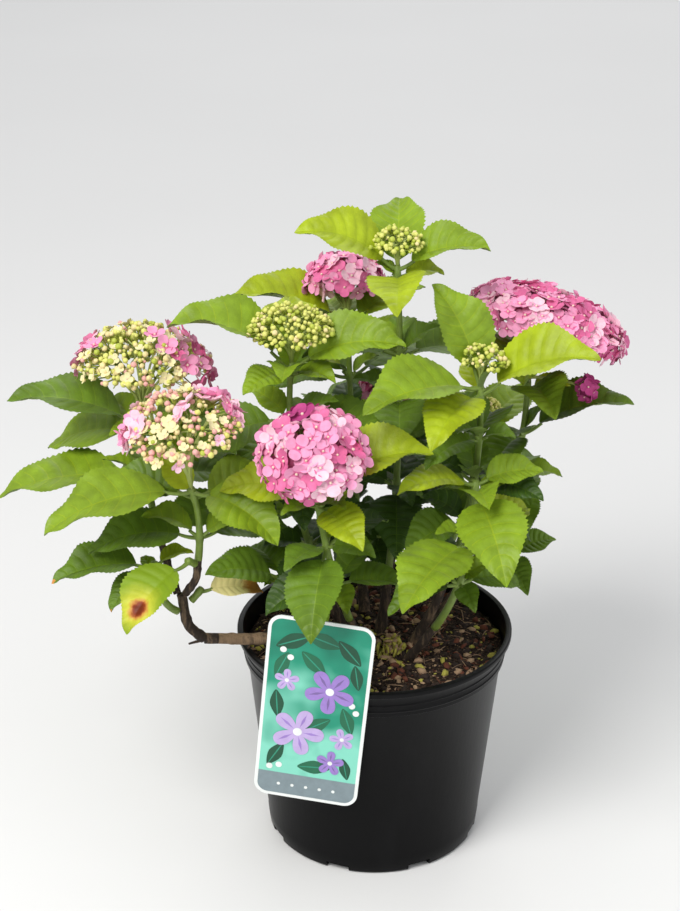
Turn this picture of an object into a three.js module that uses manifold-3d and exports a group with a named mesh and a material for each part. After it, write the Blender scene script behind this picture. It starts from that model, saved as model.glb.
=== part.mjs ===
// A mophead hydrangea in its nursery pot, in millimetres, +Z up.
// The origin is the middle of the pot's flat underside, and -Y is the side that shows its name tag.
// Canes rise from the compost and end where a shoot takes over. A shoot is one leafy mass: a green
// stem with opposite leaves, turned a quarter from node to node, and mostly a flower head on top.
import * as THREE from "three";
import { mergeVertices } from "three/addons/utils/BufferGeometryUtils.js";
import Module from "manifold-3d";

const wasm = await Module();
wasm.setup();

// Driving dimensions: the pot
const POT_HEIGHT = 152.4;
const RIM_RADIUS = 92.8;
const FOOT_RADIUS = 72.7;
const WALL = 1.6;
const COLLAR_DEPTH = 20;
const COLLAR_STEP = 2.2;
const LIP = 2.4;
const RIB_RELIEF = 0.7;
const RIB_WIDTH = 1.6;
const RIBS_ABOVE = [3.5, 8];
const LIP_DEPTH = 3.2;
const EDGE = 0.6;
const FOOT_CHAMFER = 1.5;
const FLOOR = 2.4;
const POT_SEGMENTS = 32;
const DRAIN_COUNT = 8;
const DRAIN_WIDTH = 16;
const DRAIN_HEIGHT = 5;
const DRAIN_DEPTH = 9;

// Driving dimensions: the compost, flat round the canes and falling to the wall
const SOIL_TOP = 142;
const SOIL_EDGE = 138;
const SOIL_FLAT_RADIUS = 60;

// Driving dimensions: the name tag, which hooks over the rim
const TAG_WIDTH = 68;
const TAG_HEIGHT = 134;
const TAG_THICK = 0.8;
const TAG_CORNER = 9;
const TAG_TOP = 204;
const TAG_AZIMUTH = -98;
const TAG_SLIDE = -21;
const TAG_LEAN = 5.5;
const HOOK_WIDTH = 16;
const HOOK_REACH = 16;

// Driving dimensions: stems, leaves and the room they keep
const SEAT = 0.3;
const STEM_FOOT = 2.6;
const STEM_TOP = 1.9;
const SIDE_ANGLE = 52;
const SIDE_SEAT = 0.35;
const CANE_SIDES = 8;
const STALK_SHARE = 0.17;
const STALK_RADIUS = 1.4;
const LEAF_ASPECT = 0.33;
const LEAF_FOLD = 14;
const LEAF_THICK = 1.2;
const LEAST_THICK = 0.016;
const LEAF_DROOP = 40;
const CLEAR = 2.8;
const OWN_CLEAR = 0.8;
const HEAD_CLEAR = 6;
const SUNWARD = 20;
const SUN_AZIMUTH = -110;
const TOP_NODE = 3;
const COLLAR_NODE = 5;
const NODE_STEP = 31;
const MOST_NODES = 7;
const SPARE = 12;

// The rule's own leaves: how each wish spreads about its mean, and how it changes down the stem
const TURN_SPREAD = 24;
const LEAST_REACH = 0.8;
const REACH_SPREAD = 0.35;
const LOW_NODE = 4;
const LOW_REACH = 0.85;
const TOP_RISE = 34;
const RISE_STEP = 9;
const RISE_SPREAD = 16;
const DROOP_SPREAD = 18;
const ROLL_SPREAD = 20;

const degrees = THREE.MathUtils.degToRad;
const vector = (x, y, z) => new THREE.Vector3(x, y, z);

// Canes: woody limbs, each with its control points and its radius at both ends
const CANES = [
  { name: "cane_centre", radii: [4.0, 3.1], points: [[4, 6, SOIL_TOP], [7, 8, 162], [9, 10, 182]] },
  { name: "cane_left_centre", radii: [4.0, 3.0], points: [[-18, 2, SOIL_TOP], [-28, -2, 166], [-36, -5, 190]] },
  { name: "cane_front", radii: [3.8, 2.9], points: [[-6, -26, SOIL_TOP], [-11, -36, 160], [-17, -44, 180]] },
  { name: "cane_right_front", radii: [3.8, 2.9], points: [[26, -8, SOIL_TOP], [37, -12, 166], [45, -16, 190]] },
  { name: "cane_front_right", radii: [3.4, 2.8],
    points: [[22, -30, SOIL_TOP], [30, -38, 158], [38, -45, 174]] },
  { name: "cane_right", radii: [4.2, 3.1], points: [[40, 14, SOIL_TOP], [56, 20, 166], [69, 25, 188]] },
  { name: "cane_rear", radii: [4.0, 3.0], points: [[-6, 34, SOIL_TOP], [-8, 46, 164], [-10, 56, 188]] },
  { name: "cane_rear_right", radii: [3.6, 2.9], points: [[28, 40, SOIL_TOP], [42, 58, 158], [54, 74, 174]] },
  { name: "cane_rear_left", radii: [3.6, 2.9], points: [[-34, 30, SOIL_TOP], [-52, 47, 158], [-66, 60, 174]] },
  { name: "cane_far_rear", radii: [3.6, 2.9], points: [[8, 56, SOIL_TOP], [12, 74, 157], [16, 90, 172]] },
  { name: "cane_left_low", radii: [4.4, 3.6],
    points: [[-46, -22, SOIL_TOP], [-60, -26, 154], [-86, -32, 158.5], [-112, -39, 163]] },
  { name: "cane_left_high", radii: [3.5, 3.3], follows: "cane_left_low",
    points: [[-112, -39, 163], [-122, -41, 174], [-126, -39, 196]] },
  { name: "bough_left_rear", radii: [2.7, 2.5], aside: [-3, 1.2], follows: "cane_left_high",
    points: [[-126, -39, 196], [-134, -32, 210], [-139, -26, 226]] },
  { name: "bough_left_front", radii: [2.7, 2.5], aside: [3, -1.2], follows: "cane_left_high",
    points: [[-126, -39, 196], [-116, -44, 210], [-114, -45, 224]] },
];

// Shoots: each runs from its foot to the fork under its head. The leaves that show from the front
// are stated as node (0 is the top one), azimuth, reach, rise and roll; the rule grows the others.
const SHOOTS = [
  { name: "shoot_top", on: "cane_centre", fork: [13, 20, 400], bare: 52, turn: 4, leaf: 78, seed: 11,
    head: { kind: "buds", at: [13, 20, 413], radius: 17, height: 12 },
    shows: [[0, 186, 74, 42, -10], [0, -8, 64, 35], [1, -92, 68, 16], [1, 88, 68, 50]] },
  { name: "shoot_left_centre", on: "cane_left_centre", fork: [-54, -10, 346], turn: 0, leaf: 78, seed: 12,
    head: { kind: "buds", at: [-54, -10, 366], radius: 28, height: 17 },
    shows: [[0, 180, 88, 42, 12], [0, -8, 78, 32], [1, 92, 68, 48], [1, -100, 58, 4]] },
  { name: "shoot_far_left", on: "bough_left_rear", fork: [-152, 10, 298], turn: 4, leaf: 72, seed: 13,
    head: { kind: "opening", at: [-150, 15, 331], radius: 45, height: 31 },
    shows: [[0, 184, 91, 28, 12], [0, 10, 54, 16], [1, 156, 80, -4], [1, -30, 46, 0],
      [2, 186, 100, 10, 16]] },
  { name: "shoot_left", on: "bough_left_front", fork: [-116, -54, 279], turn: 12, leaf: 70, seed: 14,
    head: { kind: "opening", at: [-120, -66, 325], radius: 37, height: 15 },
    shows: [[0, 187, 100, 2, 10], [0, -30, 70, 2, 4], [1, 168, 60, 22], [1, 20, 58, 20]] },
  { name: "shoot_front", on: "cane_front", fork: [-38, -66, 280], turn: 8, leaf: 70, seed: 35,
    head: { kind: "pink", at: [-40, -77, 310], radius: 35, height: 27 },
    shows: [[0, 6, 82, 42], [0, 172, 64, 20], [1, -57, 52, 4], [2, -100, 70, -18], [3, 12, 50, 4],
      [3, 195, 52, 0]] },
  { name: "shoot_rear", on: "cane_rear", fork: [-18, 84, 338], turn: 20, leaf: 76, seed: 16,
    head: { kind: "pink", at: [-20, 90, 364], radius: 27, height: 21 }, shows: [] },
  { name: "shoot_far_right", on: "cane_right", fork: [102, 50, 312], nodes: 4, turn: 4, leaf: 76,
    seed: 17,
    head: { kind: "pink", at: [113, 58, 345], radius: 57, height: 26 },
    shows: [[0, 75, 64, 12], [2, -2, 80, 35, -12], [2, 240, 56, 4], [3, -84, 52, -14]] },
  { name: "shoot_right_front", on: "cane_right_front", fork: [64, -30, 340], nodes: 5, turn: 15, leaf: 76,
    seed: 18,
    head: { kind: "buds", at: [66, -30, 354], radius: 16, height: 12 },
    shows: [[0, 135, 74, 70], [0, 202, 86, 10], [1, -18, 84, 42], [1, -122, 68, 8], [2, 75, 60, 14],
      [2, 222, 50, 12]] },
  { name: "shoot_front_right", on: "cane_front_right", fork: [62, -44, 280], turn: 20, leaf: 70, seed: 19,
    head: null,
    shows: [[0, 205, 58, 24], [0, 10, 46, 24], [1, -78, 80, -6], [2, 236, 84, 4], [3, 200, 54, 0],
      [3, 24, 50, 6]] },
  { name: "shoot_rear_right", on: "cane_rear_right", fork: [74, 116, 240], turn: 40, leaf: 76, seed: 20,
    head: { kind: "buds", at: [76, 122, 256], radius: 19, height: 13 }, shows: [[1, -80, 56, 6]] },
  { name: "shoot_rear_left", on: "cane_rear_left", fork: [-118, 92, 228], turn: 35, leaf: 76, seed: 21,
    head: { kind: "opening", at: [-122, 96, 252], radius: 30, height: 20 }, shows: [] },
  { name: "shoot_far_rear", on: "cane_far_rear", fork: [14, 134, 232], turn: 10, leaf: 76, seed: 22,
    head: { kind: "pink", at: [14, 142, 256], radius: 32, height: 23 }, shows: [] },
  { name: "spray_low_left", on: "cane_left_high", beside: 0.7, fork: [-142, -47, 224], turn: 10,
    leaf: 46, seed: 23, head: null, shows: [[0, 190, 68, 10, 8], [0, 20, 28, 30], [1, 215, 40, -6]] },
  { name: "spray_spotted", on: "bough_left_front", beside: 0.85, fork: [-120, -58, 230], turn: 18,
    leaf: 40, seed: 25, head: null, single: true, shows: [[0, 210, 64, -14]] },
  { name: "spray_dry", on: "cane_left_high", beside: 0.8, fork: [-113, -38, 200], turn: 0,
    leaf: 50, seed: 24, head: null, single: true, shows: [[0, 12, 44, 8]] },
  { name: "spray_low_centre", on: "cane_left_centre", beside: 0.7, fork: [-62, -36, 208], turn: 30,
    leaf: 62, seed: 29, head: null, shows: [] },
  { name: "spray_low_right", on: "cane_right", beside: 0.7, fork: [90, 0, 206], turn: 20,
    leaf: 46, seed: 27, head: null, shows: [] },
  { name: "spray_low_rear", on: "cane_rear", beside: 0.6, fork: [-40, 84, 206], turn: 50,
    leaf: 66, seed: 28, head: null, shows: [] },
];

// Seeded numbers from 0 to 1, the same on every machine
function seeded(seed) {
  let state = seed >>> 0;
  return () => {
    state = (state + 0x6d2b79f5) >>> 0;
    let mixed = Math.imul(state ^ (state >>> 15), state | 1);
    mixed ^= mixed + Math.imul(mixed ^ (mixed >>> 7), mixed | 61);
    return ((mixed ^ (mixed >>> 14)) >>> 0) / 4294967296;
  };
}

// Solids: a closed three.js geometry becomes a manifold, and back
function toManifold(geometry) {
  const bare = geometry.clone();
  bare.deleteAttribute("normal");
  bare.deleteAttribute("uv");
  const merged = mergeVertices(bare, 1e-4);
  const corners = Array.from(merged.index.array);
  const kept = [];
  for (let i = 0; i < corners.length; i += 3) {
    const [a, b, c] = corners.slice(i, i + 3);
    if (a !== b && b !== c && c !== a) {
      kept.push(a, b, c);
    }
  }
  return new wasm.Manifold(new wasm.Mesh({
    numProp: 3,
    vertProperties: new Float32Array(merged.attributes.position.array),
    triVerts: new Uint32Array(kept),
  }));
}

function toGeometry(manifold) {
  const mesh = manifold.getMesh();
  const geometry = new THREE.BufferGeometry();
  geometry.setAttribute("position", new THREE.BufferAttribute(mesh.vertProperties.slice(), 3));
  geometry.setIndex(new THREE.BufferAttribute(mesh.triVerts.slice(), 1));
  geometry.computeVertexNormals();
  return geometry;
}

// Joined pieces as one body: loose scraps are dropped and sealed hollows filled
function fuse(geometries) {
  const shells = wasm.Manifold.union(geometries.map(toManifold)).decompose();
  shells.sort((a, b) => b.volume() - a.volume());
  return toGeometry(shells[0]);
}

// A closed skin through rings of the same number of points, each ring running the same way round
function loft(rings) {
  const sides = rings[0].length;
  const positions = rings.flat().flatMap((p) => [p.x, p.y, p.z]);
  const index = [];
  for (let ring = 0; ring + 1 < rings.length; ring += 1) {
    for (let side = 0; side < sides; side += 1) {
      const next = (side + 1) % sides;
      const a = ring * sides + side;
      const b = ring * sides + next;
      index.push(a, b, b + sides, a, b + sides, a + sides);
    }
  }
  const last = (rings.length - 1) * sides;
  for (let side = 1; side + 1 < sides; side += 1) {
    index.push(0, side + 1, side, last, last + side, last + side + 1);
  }
  const geometry = new THREE.BufferGeometry();
  geometry.setAttribute("position", new THREE.BufferAttribute(new Float32Array(positions), 3));
  geometry.setIndex(index);
  return geometry;
}

// One tapering limb along a curve, cut flat at both ends, its foot across a stated direction
function limb(curve, radii, sides, steps, footNormal = curve.getTangent(0)) {
  const rings = [];
  for (let step = 0; step <= steps; step += 1) {
    const t = step / steps;
    const tangent = step === 0 ? footNormal : curve.getTangent(t);
    const radius = THREE.MathUtils.lerp(radii[0], radii[1], t);
    const across = vector(0, 1, 0).cross(tangent).normalize();
    const up = tangent.clone().cross(across);
    rings.push(Array.from({ length: sides }, (_, side) => {
      const angle = (2 * Math.PI * side) / sides;
      return curve.getPoint(t).addScaledVector(across, radius * Math.cos(angle))
        .addScaledVector(up, radius * Math.sin(angle));
    }));
  }
  return loft(rings);
}

// The pot: one turned shell with a stepped collar, two ribs and a rolled lip, and drain slots in its foot
function potRadius(height) {
  return THREE.MathUtils.lerp(FOOT_RADIUS, RIM_RADIUS - LIP - COLLAR_STEP, height / POT_HEIGHT);
}

function makePot() {
  const collarFoot = POT_HEIGHT - COLLAR_DEPTH;
  const collar = potRadius(collarFoot) + COLLAR_STEP;
  const ribs = RIBS_ABOVE.flatMap((above) => [
    [collar, collarFoot + above],
    [collar + RIB_RELIEF, collarFoot + above + RIB_WIDTH / 2],
    [collar, collarFoot + above + RIB_WIDTH],
  ]);
  const outline = [
    [0, 0], [FOOT_RADIUS - FOOT_CHAMFER, 0], [FOOT_RADIUS, FOOT_CHAMFER],
    [potRadius(collarFoot), collarFoot], [collar, collarFoot + EDGE],
    ...ribs,
    [RIM_RADIUS - LIP, POT_HEIGHT - LIP_DEPTH - EDGE], [RIM_RADIUS, POT_HEIGHT - LIP_DEPTH],
    [RIM_RADIUS, POT_HEIGHT - EDGE], [RIM_RADIUS - EDGE, POT_HEIGHT],
    [RIM_RADIUS - LIP - WALL, POT_HEIGHT],
    [collar - WALL, collarFoot + WALL], [potRadius(collarFoot) - WALL, collarFoot - EDGE],
    [FOOT_RADIUS - WALL, FLOOR], [0, FLOOR],
  ];
  const shell = toManifold(new THREE.LatheGeometry(
    outline.map(([r, z]) => new THREE.Vector2(r, z)), POT_SEGMENTS).rotateX(Math.PI / 2));
  const slots = Array.from({ length: DRAIN_COUNT }, (_, i) => {
    const slot = new THREE.BoxGeometry(DRAIN_DEPTH, DRAIN_WIDTH, 2 * DRAIN_HEIGHT);
    slot.translate(FOOT_RADIUS - 1, 0, 0);
    return toManifold(slot.rotateZ((2 * Math.PI * (i + 0.55)) / DRAIN_COUNT));
  });
  return toGeometry(shell.subtract(wasm.Manifold.union(slots)));
}

// The compost fills the pot and keeps a hair clear of its wall, and stays above the drain slots
function makeSoil() {
  const inner = (height) => potRadius(height) - WALL - SEAT;
  const bottom = DRAIN_HEIGHT + 1;
  const collarFoot = POT_HEIGHT - COLLAR_DEPTH;
  const wide = inner(collarFoot) + COLLAR_STEP - SEAT;
  const outline = [
    [0, FLOOR + SEAT], [FOOT_RADIUS - DRAIN_DEPTH, FLOOR + SEAT], [inner(bottom), bottom],
    [inner(collarFoot - EDGE), collarFoot - EDGE], [wide, collarFoot + COLLAR_STEP + SEAT],
    [wide, SOIL_EDGE],
    [SOIL_FLAT_RADIUS, SOIL_TOP], [0, SOIL_TOP],
  ];
  return new THREE.LatheGeometry(outline.map(([r, z]) => new THREE.Vector2(r, z)), POT_SEGMENTS)
    .rotateX(Math.PI / 2);
}

// The tag: a round-cornered plate that touches the rim with one side, and hooks over it by a tongue
function roundedPlate(width, height, corner) {
  const shape = new THREE.Shape();
  const x = width / 2;
  shape.moveTo(-x + corner, -height);
  shape.lineTo(x - corner, -height);
  shape.absarc(x - corner, -height + corner, corner, -Math.PI / 2, 0);
  shape.lineTo(x, -corner);
  shape.absarc(x - corner, -corner, corner, 0, Math.PI / 2);
  shape.lineTo(-x + corner, 0);
  shape.absarc(-x + corner, -corner, corner, Math.PI / 2, Math.PI);
  shape.lineTo(-x, -height + corner);
  shape.absarc(-x + corner, -height + corner, corner, Math.PI, 1.5 * Math.PI);
  return shape;
}

function makeTag() {
  const flat = { depth: TAG_THICK, bevelEnabled: false, curveSegments: 5 };
  const plate = new THREE.ExtrudeGeometry(roundedPlate(TAG_WIDTH, TAG_HEIGHT, TAG_CORNER), flat);
  plate.rotateZ(-degrees(TAG_LEAN));
  const bar = POT_HEIGHT + SEAT - TAG_TOP;
  const tip = SOIL_TOP + SEAT - TAG_TOP;
  const hook = new THREE.Shape();
  hook.moveTo(-TAG_THICK / 2, bar);
  hook.lineTo(HOOK_REACH, bar);
  hook.lineTo(HOOK_REACH, tip);
  hook.lineTo(HOOK_REACH + TAG_THICK, tip);
  hook.lineTo(HOOK_REACH + TAG_THICK, bar + TAG_THICK);
  hook.lineTo(-TAG_THICK / 2, bar + TAG_THICK);
  const tongue = new THREE.ExtrudeGeometry(hook, { depth: HOOK_WIDTH, bevelEnabled: false });
  tongue.rotateY(Math.PI / 2);
  tongue.translate(-HOOK_WIDTH / 2, 0, 0);
  return fuse([plate, tongue]);
}

function placeTag(mesh) {
  const azimuth = degrees(TAG_AZIMUTH);
  const outward = vector(Math.cos(azimuth), Math.sin(azimuth), 0);
  const side = vector(-Math.sin(azimuth), Math.cos(azimuth), 0);
  mesh.matrix.makeBasis(side, vector(0, 0, 1), outward);
  mesh.quaternion.setFromRotationMatrix(mesh.matrix);
  mesh.position.copy(outward.multiplyScalar(RIM_RADIUS + SEAT)).addScaledVector(side, TAG_SLIDE);
  mesh.position.z = TAG_TOP;
  return mesh;
}

// Canes: each is cut level just above the compost, or starts on the end face of the cane it follows
function caneFoot({ points: [[x, y, z]], follows, aside = [0, 0] }) {
  if (!follows) {
    return { place: vector(x, y, z + SEAT), normal: vector(0, 0, 1) };
  }
  const below = caneCurve(CANES.find(({ name }) => name === follows));
  const normal = below.getTangent(1);
  const across = vector(aside[0], aside[1], 0).projectOnPlane(normal);
  return { place: below.getPoint(1).addScaledVector(normal, SEAT).add(across), normal };
}

function caneCurve(cane) {
  const rest = cane.points.slice(1).map(([x, y, z]) => vector(x, y, z));
  return new THREE.CatmullRomCurve3([caneFoot(cane).place, ...rest]);
}

function makeCane(cane) {
  const steps = 3 * (cane.points.length - 1);
  return limb(caneCurve(cane), cane.radii, CANE_SIDES, steps, caneFoot(cane).normal);
}

// A shoot's stem rises from its foot to its fork: on the end of its limb, in the limb's direction,
// or beside it, where it leaves at an angle and its cut end stays a seat's width clear of the bark
function stemCurve({ on, beside, fork: [x, y, z] }) {
  const cane = CANES.find(({ name }) => name === on);
  const curve = caneCurve(cane);
  const fork = vector(x, y, z);
  const seat = curve.getPoint(beside ?? 1);
  const grain = curve.getTangent(beside ?? 1);
  const lean = Math.cos(degrees(SIDE_ANGLE));
  const out = Math.sin(degrees(SIDE_ANGLE));
  const sideways = fork.clone().sub(seat).projectOnPlane(grain).normalize();
  const along = beside ? sideways.multiplyScalar(out).addScaledVector(grain, lean) : grain;
  const bark = THREE.MathUtils.lerp(...cane.radii, beside ?? 1);
  const foot = seat.addScaledVector(along, beside ? (bark + SIDE_SEAT + STEM_FOOT * lean) / out : SEAT);
  const bend = foot.clone().addScaledVector(along, foot.distanceTo(fork) / 2);
  return new THREE.QuadraticBezierCurve3(foot, bend, fork);
}

// Leaves. A blade is a circular arc along its midrib, folded up at both sides and rolled about it,
// widest below its middle
const WIDE_LOW = 0.75;
const FULLNESS = 0.9;

function bladeProfile(along) {
  return Math.pow(Math.max(0, Math.sin(Math.PI * Math.pow(along, WIDE_LOW))), FULLNESS);
}

function growLeaf(root, azimuth, reach, rise, droop, lean) {
  const outward = vector(Math.cos(azimuth), Math.sin(azimuth), 0);
  const roll = lean + degrees(SUNWARD) * Math.sin(azimuth - degrees(SUN_AZIMUTH));
  const stalk = reach * STALK_SHARE;
  const base = root.clone().addScaledVector(outward, stalk * Math.cos(rise));
  base.z += stalk * Math.sin(rise);
  const length = reach - stalk;
  return { root, base, outward, side: vector(-outward.y, outward.x, 0), rise, droop, roll, length,
    width: length * LEAF_ASPECT, fold: Math.tan(degrees(LEAF_FOLD)) };
}

// A point on a blade: along from 0 to 1, across from -1 to 1, lifted off its face
function bladePoint(leaf, along, across, lift = 0) {
  const angle = leaf.rise - leaf.droop * along;
  const bend = leaf.length / leaf.droop;
  const run = bend * (Math.sin(leaf.rise) - Math.sin(angle));
  const climb = bend * (Math.cos(angle) - Math.cos(leaf.rise));
  const out = across * leaf.width * bladeProfile(along);
  const up = Math.abs(out) * leaf.fold + lift;
  const sideways = out * Math.cos(leaf.roll) - up * Math.sin(leaf.roll);
  const normal = out * Math.sin(leaf.roll) + up * Math.cos(leaf.roll);
  const point = leaf.base.clone().addScaledVector(leaf.outward, run - normal * Math.sin(angle))
    .addScaledVector(leaf.side, sideways);
  point.z += climb + normal * Math.cos(angle);
  return point;
}

// Room: whether a point lies within a margin of a blade, of a tapering limb or of a head and its rays
function nearBlade(leaf, point, margin) {
  const from = point.clone().sub(leaf.base);
  const bend = leaf.length / leaf.droop;
  const run = from.dot(leaf.outward) - bend * Math.sin(leaf.rise);
  const climb = from.z + bend * Math.cos(leaf.rise);
  const along = (leaf.rise - Math.atan2(-run, climb)) / leaf.droop;
  if (along < -margin / leaf.length || along > 1 + margin / leaf.length) {
    return false;
  }
  const normal = Math.hypot(run, climb) - bend;
  const sideways = from.dot(leaf.side);
  const out = sideways * Math.cos(leaf.roll) + normal * Math.sin(leaf.roll);
  const up = normal * Math.cos(leaf.roll) - sideways * Math.sin(leaf.roll);
  const half = leaf.width * bladeProfile(THREE.MathUtils.clamp(along, 0, 1));
  return Math.abs(out) < half + margin && Math.abs(up - Math.abs(out) * leaf.fold) < margin;
}

function nearLimb({ start, end, radii }, point, margin) {
  const axis = end.clone().sub(start);
  const t = THREE.MathUtils.clamp(point.clone().sub(start).dot(axis) / axis.lengthSq(), 0, 1);
  const gap = point.distanceTo(start.clone().addScaledVector(axis, t));
  return gap < THREE.MathUtils.lerp(radii[0], radii[1], t) + margin;
}

const DOME_UNDER = 0.4;

function nearHead({ centre, axis, stem, radius, height }, point, margin) {
  const from = point.clone().sub(centre);
  const up = from.dot(axis);
  const out = Math.sqrt(Math.max(0, from.lengthSq() - up * up));
  const depth = up > 0 ? height : height * DOME_UNDER;
  const overRays = up < 0 && up > -stem && out < radius * (1 + up / stem) + margin;
  return overRays || Math.hypot(up / (depth + margin), out / (radius + margin)) < 1;
}

function nearTag(point, margin) {
  const azimuth = degrees(TAG_AZIMUTH);
  const outward = point.x * Math.cos(azimuth) + point.y * Math.sin(azimuth) - RIM_RADIUS;
  const sideways = point.y * Math.cos(azimuth) - point.x * Math.sin(azimuth) - TAG_SLIDE;
  return Math.abs(outward) < 2 * margin && Math.abs(sideways) < TAG_WIDTH * 0.6 + margin
    && point.z < TAG_TOP + 2 * margin;
}

function nearPot(point, margin) {
  return point.z < POT_HEIGHT + 2 * margin && Math.hypot(point.x, point.y) < RIM_RADIUS + 2 * margin;
}

function limbPieces(curve, radii, steps) {
  return Array.from({ length: steps }, (_, i) => ({
    start: curve.getPoint(i / steps), end: curve.getPoint((i + 1) / steps),
    radii: [0, 1].map((k) => THREE.MathUtils.lerp(radii[0], radii[1], (i + k) / steps)),
  }));
}

// Points spread over a leaf's blade, and along its stalk clear of its own stem
const BLADE_ROWS = 18;
const BLADE_COLUMNS = 10;

function bladeSamples(leaf) {
  const points = [];
  for (let row = 0; row <= BLADE_ROWS; row += 1) {
    for (let column = 0; column <= BLADE_COLUMNS; column += 1) {
      points.push(bladePoint(leaf, row / BLADE_ROWS, (2 * column) / BLADE_COLUMNS - 1));
    }
  }
  return points;
}

function stalkSamples(leaf) {
  return [0.4, 0.6, 0.8].map((t) => leaf.root.clone().lerp(leaf.base, t));
}

// Heads: a dome on rays that spread from the fork
function headOf(shoot) {
  const centre = vector(...shoot.head.at);
  const rays = centre.clone().sub(vector(...shoot.fork));
  return { ...shoot.head, centre, stem: rays.length(), axis: rays.normalize(), owner: shoot.name };
}

// Places on a dome, spaced by the golden angle from its top to a little under its edge
const GOLDEN = Math.PI * (3 - Math.sqrt(5));
const DOME_SPAN = degrees(104);

function domePlaces(head, count) {
  const across = vector(0, 1, 0).cross(head.axis).normalize();
  const deep = head.axis.clone().cross(across);
  return Array.from({ length: count }, (_, i) => {
    const tilt = Math.acos(1 - ((i + 0.5) / count) * (1 - Math.cos(DOME_SPAN)));
    const turn = i * GOLDEN;
    const out = across.clone().multiplyScalar(Math.cos(turn)).addScaledVector(deep, Math.sin(turn));
    const place = head.centre.clone().addScaledVector(out, head.radius * Math.sin(tilt))
      .addScaledVector(head.axis, head.height * Math.cos(tilt));
    const normal = out.multiplyScalar(Math.sin(tilt) / head.radius)
      .addScaledVector(head.axis, Math.cos(tilt) / head.height).normalize();
    return { place, normal, turn };
  });
}

// Growth. Stated leaves grow first, then the rule's own. A leaf that would come too near a limb, a
// head, the pot or a grown leaf is turned or tipped a little, then made smaller, and else left out.
const TRIES = [[0, 0, 1], [6, 4, 1], [-6, -4, 1], [0, 7, 1], [0, -7, 1], [12, 0, 1], [-12, 0, 1],
  [0, 12, 1], [0, -12, 1], [24, 6, 0.9], [-24, 6, 0.9], [14, -16, 0.85], [-14, -16, 0.85],
  [34, 14, 0.75], [-34, 14, 0.75], [0, -30, 0.7], [50, 0, 0.7], [-50, 0, 0.7], [24, -34, 0.65],
  [-24, -34, 0.65]];

function nodePoints({ curve, bare = NODE_STEP, nodes: most = MOST_NODES }) {
  const length = curve.getLength();
  const nodes = [];
  for (let k = 0; k < most; k += 1) {
    const below = TOP_NODE + (k > 0 ? COLLAR_NODE : 0) + (k > 1 ? bare + (k - 2) * NODE_STEP : 0);
    if (k === 0 || below < length - SPARE) {
      nodes.push(curve.getPointAt(1 - below / length));
    }
  }
  return nodes;
}

function wishes(shoot) {
  const random = seeded(shoot.seed);
  const nodes = nodePoints(shoot);
  const stated = [];
  const ruled = [];
  nodes.forEach((root, k) => {
    const shown = shoot.shows.filter(([node]) => node === k);
    for (let sideOfStem = 0; sideOfStem < 2; sideOfStem += 1) {
      const chance = Array.from({ length: 5 }, random);
      const stray = TURN_SPREAD * (chance[0] - 0.5);
      const free = shoot.turn + 90 * k + 180 * sideOfStem + stray;
      const opposite = shown.length === 1 ? shown[0][1] + 180 + stray : free;
      const share = (LEAST_REACH + REACH_SPREAD * chance[1]) * (k < LOW_NODE ? 1 : LOW_REACH);
      const own = shown[sideOfStem];
      const wish = {
        root,
        azimuth: own ? own[1] : opposite,
        reach: own ? own[2] : shoot.leaf * share,
        rise: own ? own[3] : TOP_RISE - RISE_STEP * k + RISE_SPREAD * (chance[2] - 0.5),
        droop: LEAF_DROOP + DROOP_SPREAD * (chance[3] - 0.5),
        roll: own?.[4] ?? ROLL_SPREAD * (chance[4] - 0.5),
      };
      if (own) {
        stated.push(wish);
      } else if (!shoot.single) {
        ruled.push(wish);
      }
    }
  });
  return { stated, ruled };
}

function isClear(leaf, room) {
  const blade = bladeSamples(leaf);
  const points = [...blade, ...stalkSamples(leaf)];
  const hull = new THREE.Sphere().setFromPoints([leaf.root, ...blade]);
  const meets = (test, thing, margin) => points.some((point) => test(thing, point, margin));
  const foreign = ({ owner }) => owner !== leaf.owner;
  if (blade.some((point) => nearPot(point, CLEAR) || nearTag(point, CLEAR))
    || room.limbs.filter(foreign).some((piece) => meets(nearLimb, piece, CLEAR))
    || room.heads.filter(foreign).some((head) => meets(nearHead, head, HEAD_CLEAR))) {
    return false;
  }
  return !room.leaves.some((other) => {
    const margin = foreign(other) ? CLEAR : OWN_CLEAR;
    return other.hull.intersectsSphere(hull)
      && (points.some((point) => nearBlade(other, point, margin))
        || other.points.some((point) => nearBlade(leaf, point, margin)));
  });
}

function growWish(wish, shoot, room) {
  for (const [turn, tip, scale] of TRIES) {
    const leaf = growLeaf(wish.root, degrees(wish.azimuth + turn), wish.reach * scale,
      degrees(wish.rise + tip), degrees(wish.droop), degrees(wish.roll));
    leaf.owner = shoot.name;
    if (isClear(leaf, room)) {
      leaf.points = [...bladeSamples(leaf), ...stalkSamples(leaf)];
      leaf.hull = new THREE.Sphere().setFromPoints([leaf.root, ...leaf.points]);
      room.leaves.push(leaf);
      return;
    }
  }
}

function growAll() {
  const room = { limbs: [], heads: [], leaves: [] };
  for (const cane of CANES) {
    room.limbs.push(...limbPieces(caneCurve(cane), cane.radii, 8));
  }
  for (const shoot of SHOOTS) {
    shoot.curve = stemCurve(shoot);
    const pieces = limbPieces(shoot.curve, [STEM_FOOT, STEM_TOP], 6);
    room.limbs.push(...pieces.map((piece) => ({ ...piece, owner: shoot.name })));
    if (shoot.head) {
      room.heads.push(headOf(shoot));
    }
  }
  const grown = SHOOTS.map(wishes);
  SHOOTS.forEach((shoot, i) => grown[i].stated.forEach((wish) => growWish(wish, shoot, room)));
  SHOOTS.forEach((shoot, i) => grown[i].ruled.forEach((wish) => growWish(wish, shoot, room)));
  return room.leaves;
}

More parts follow.
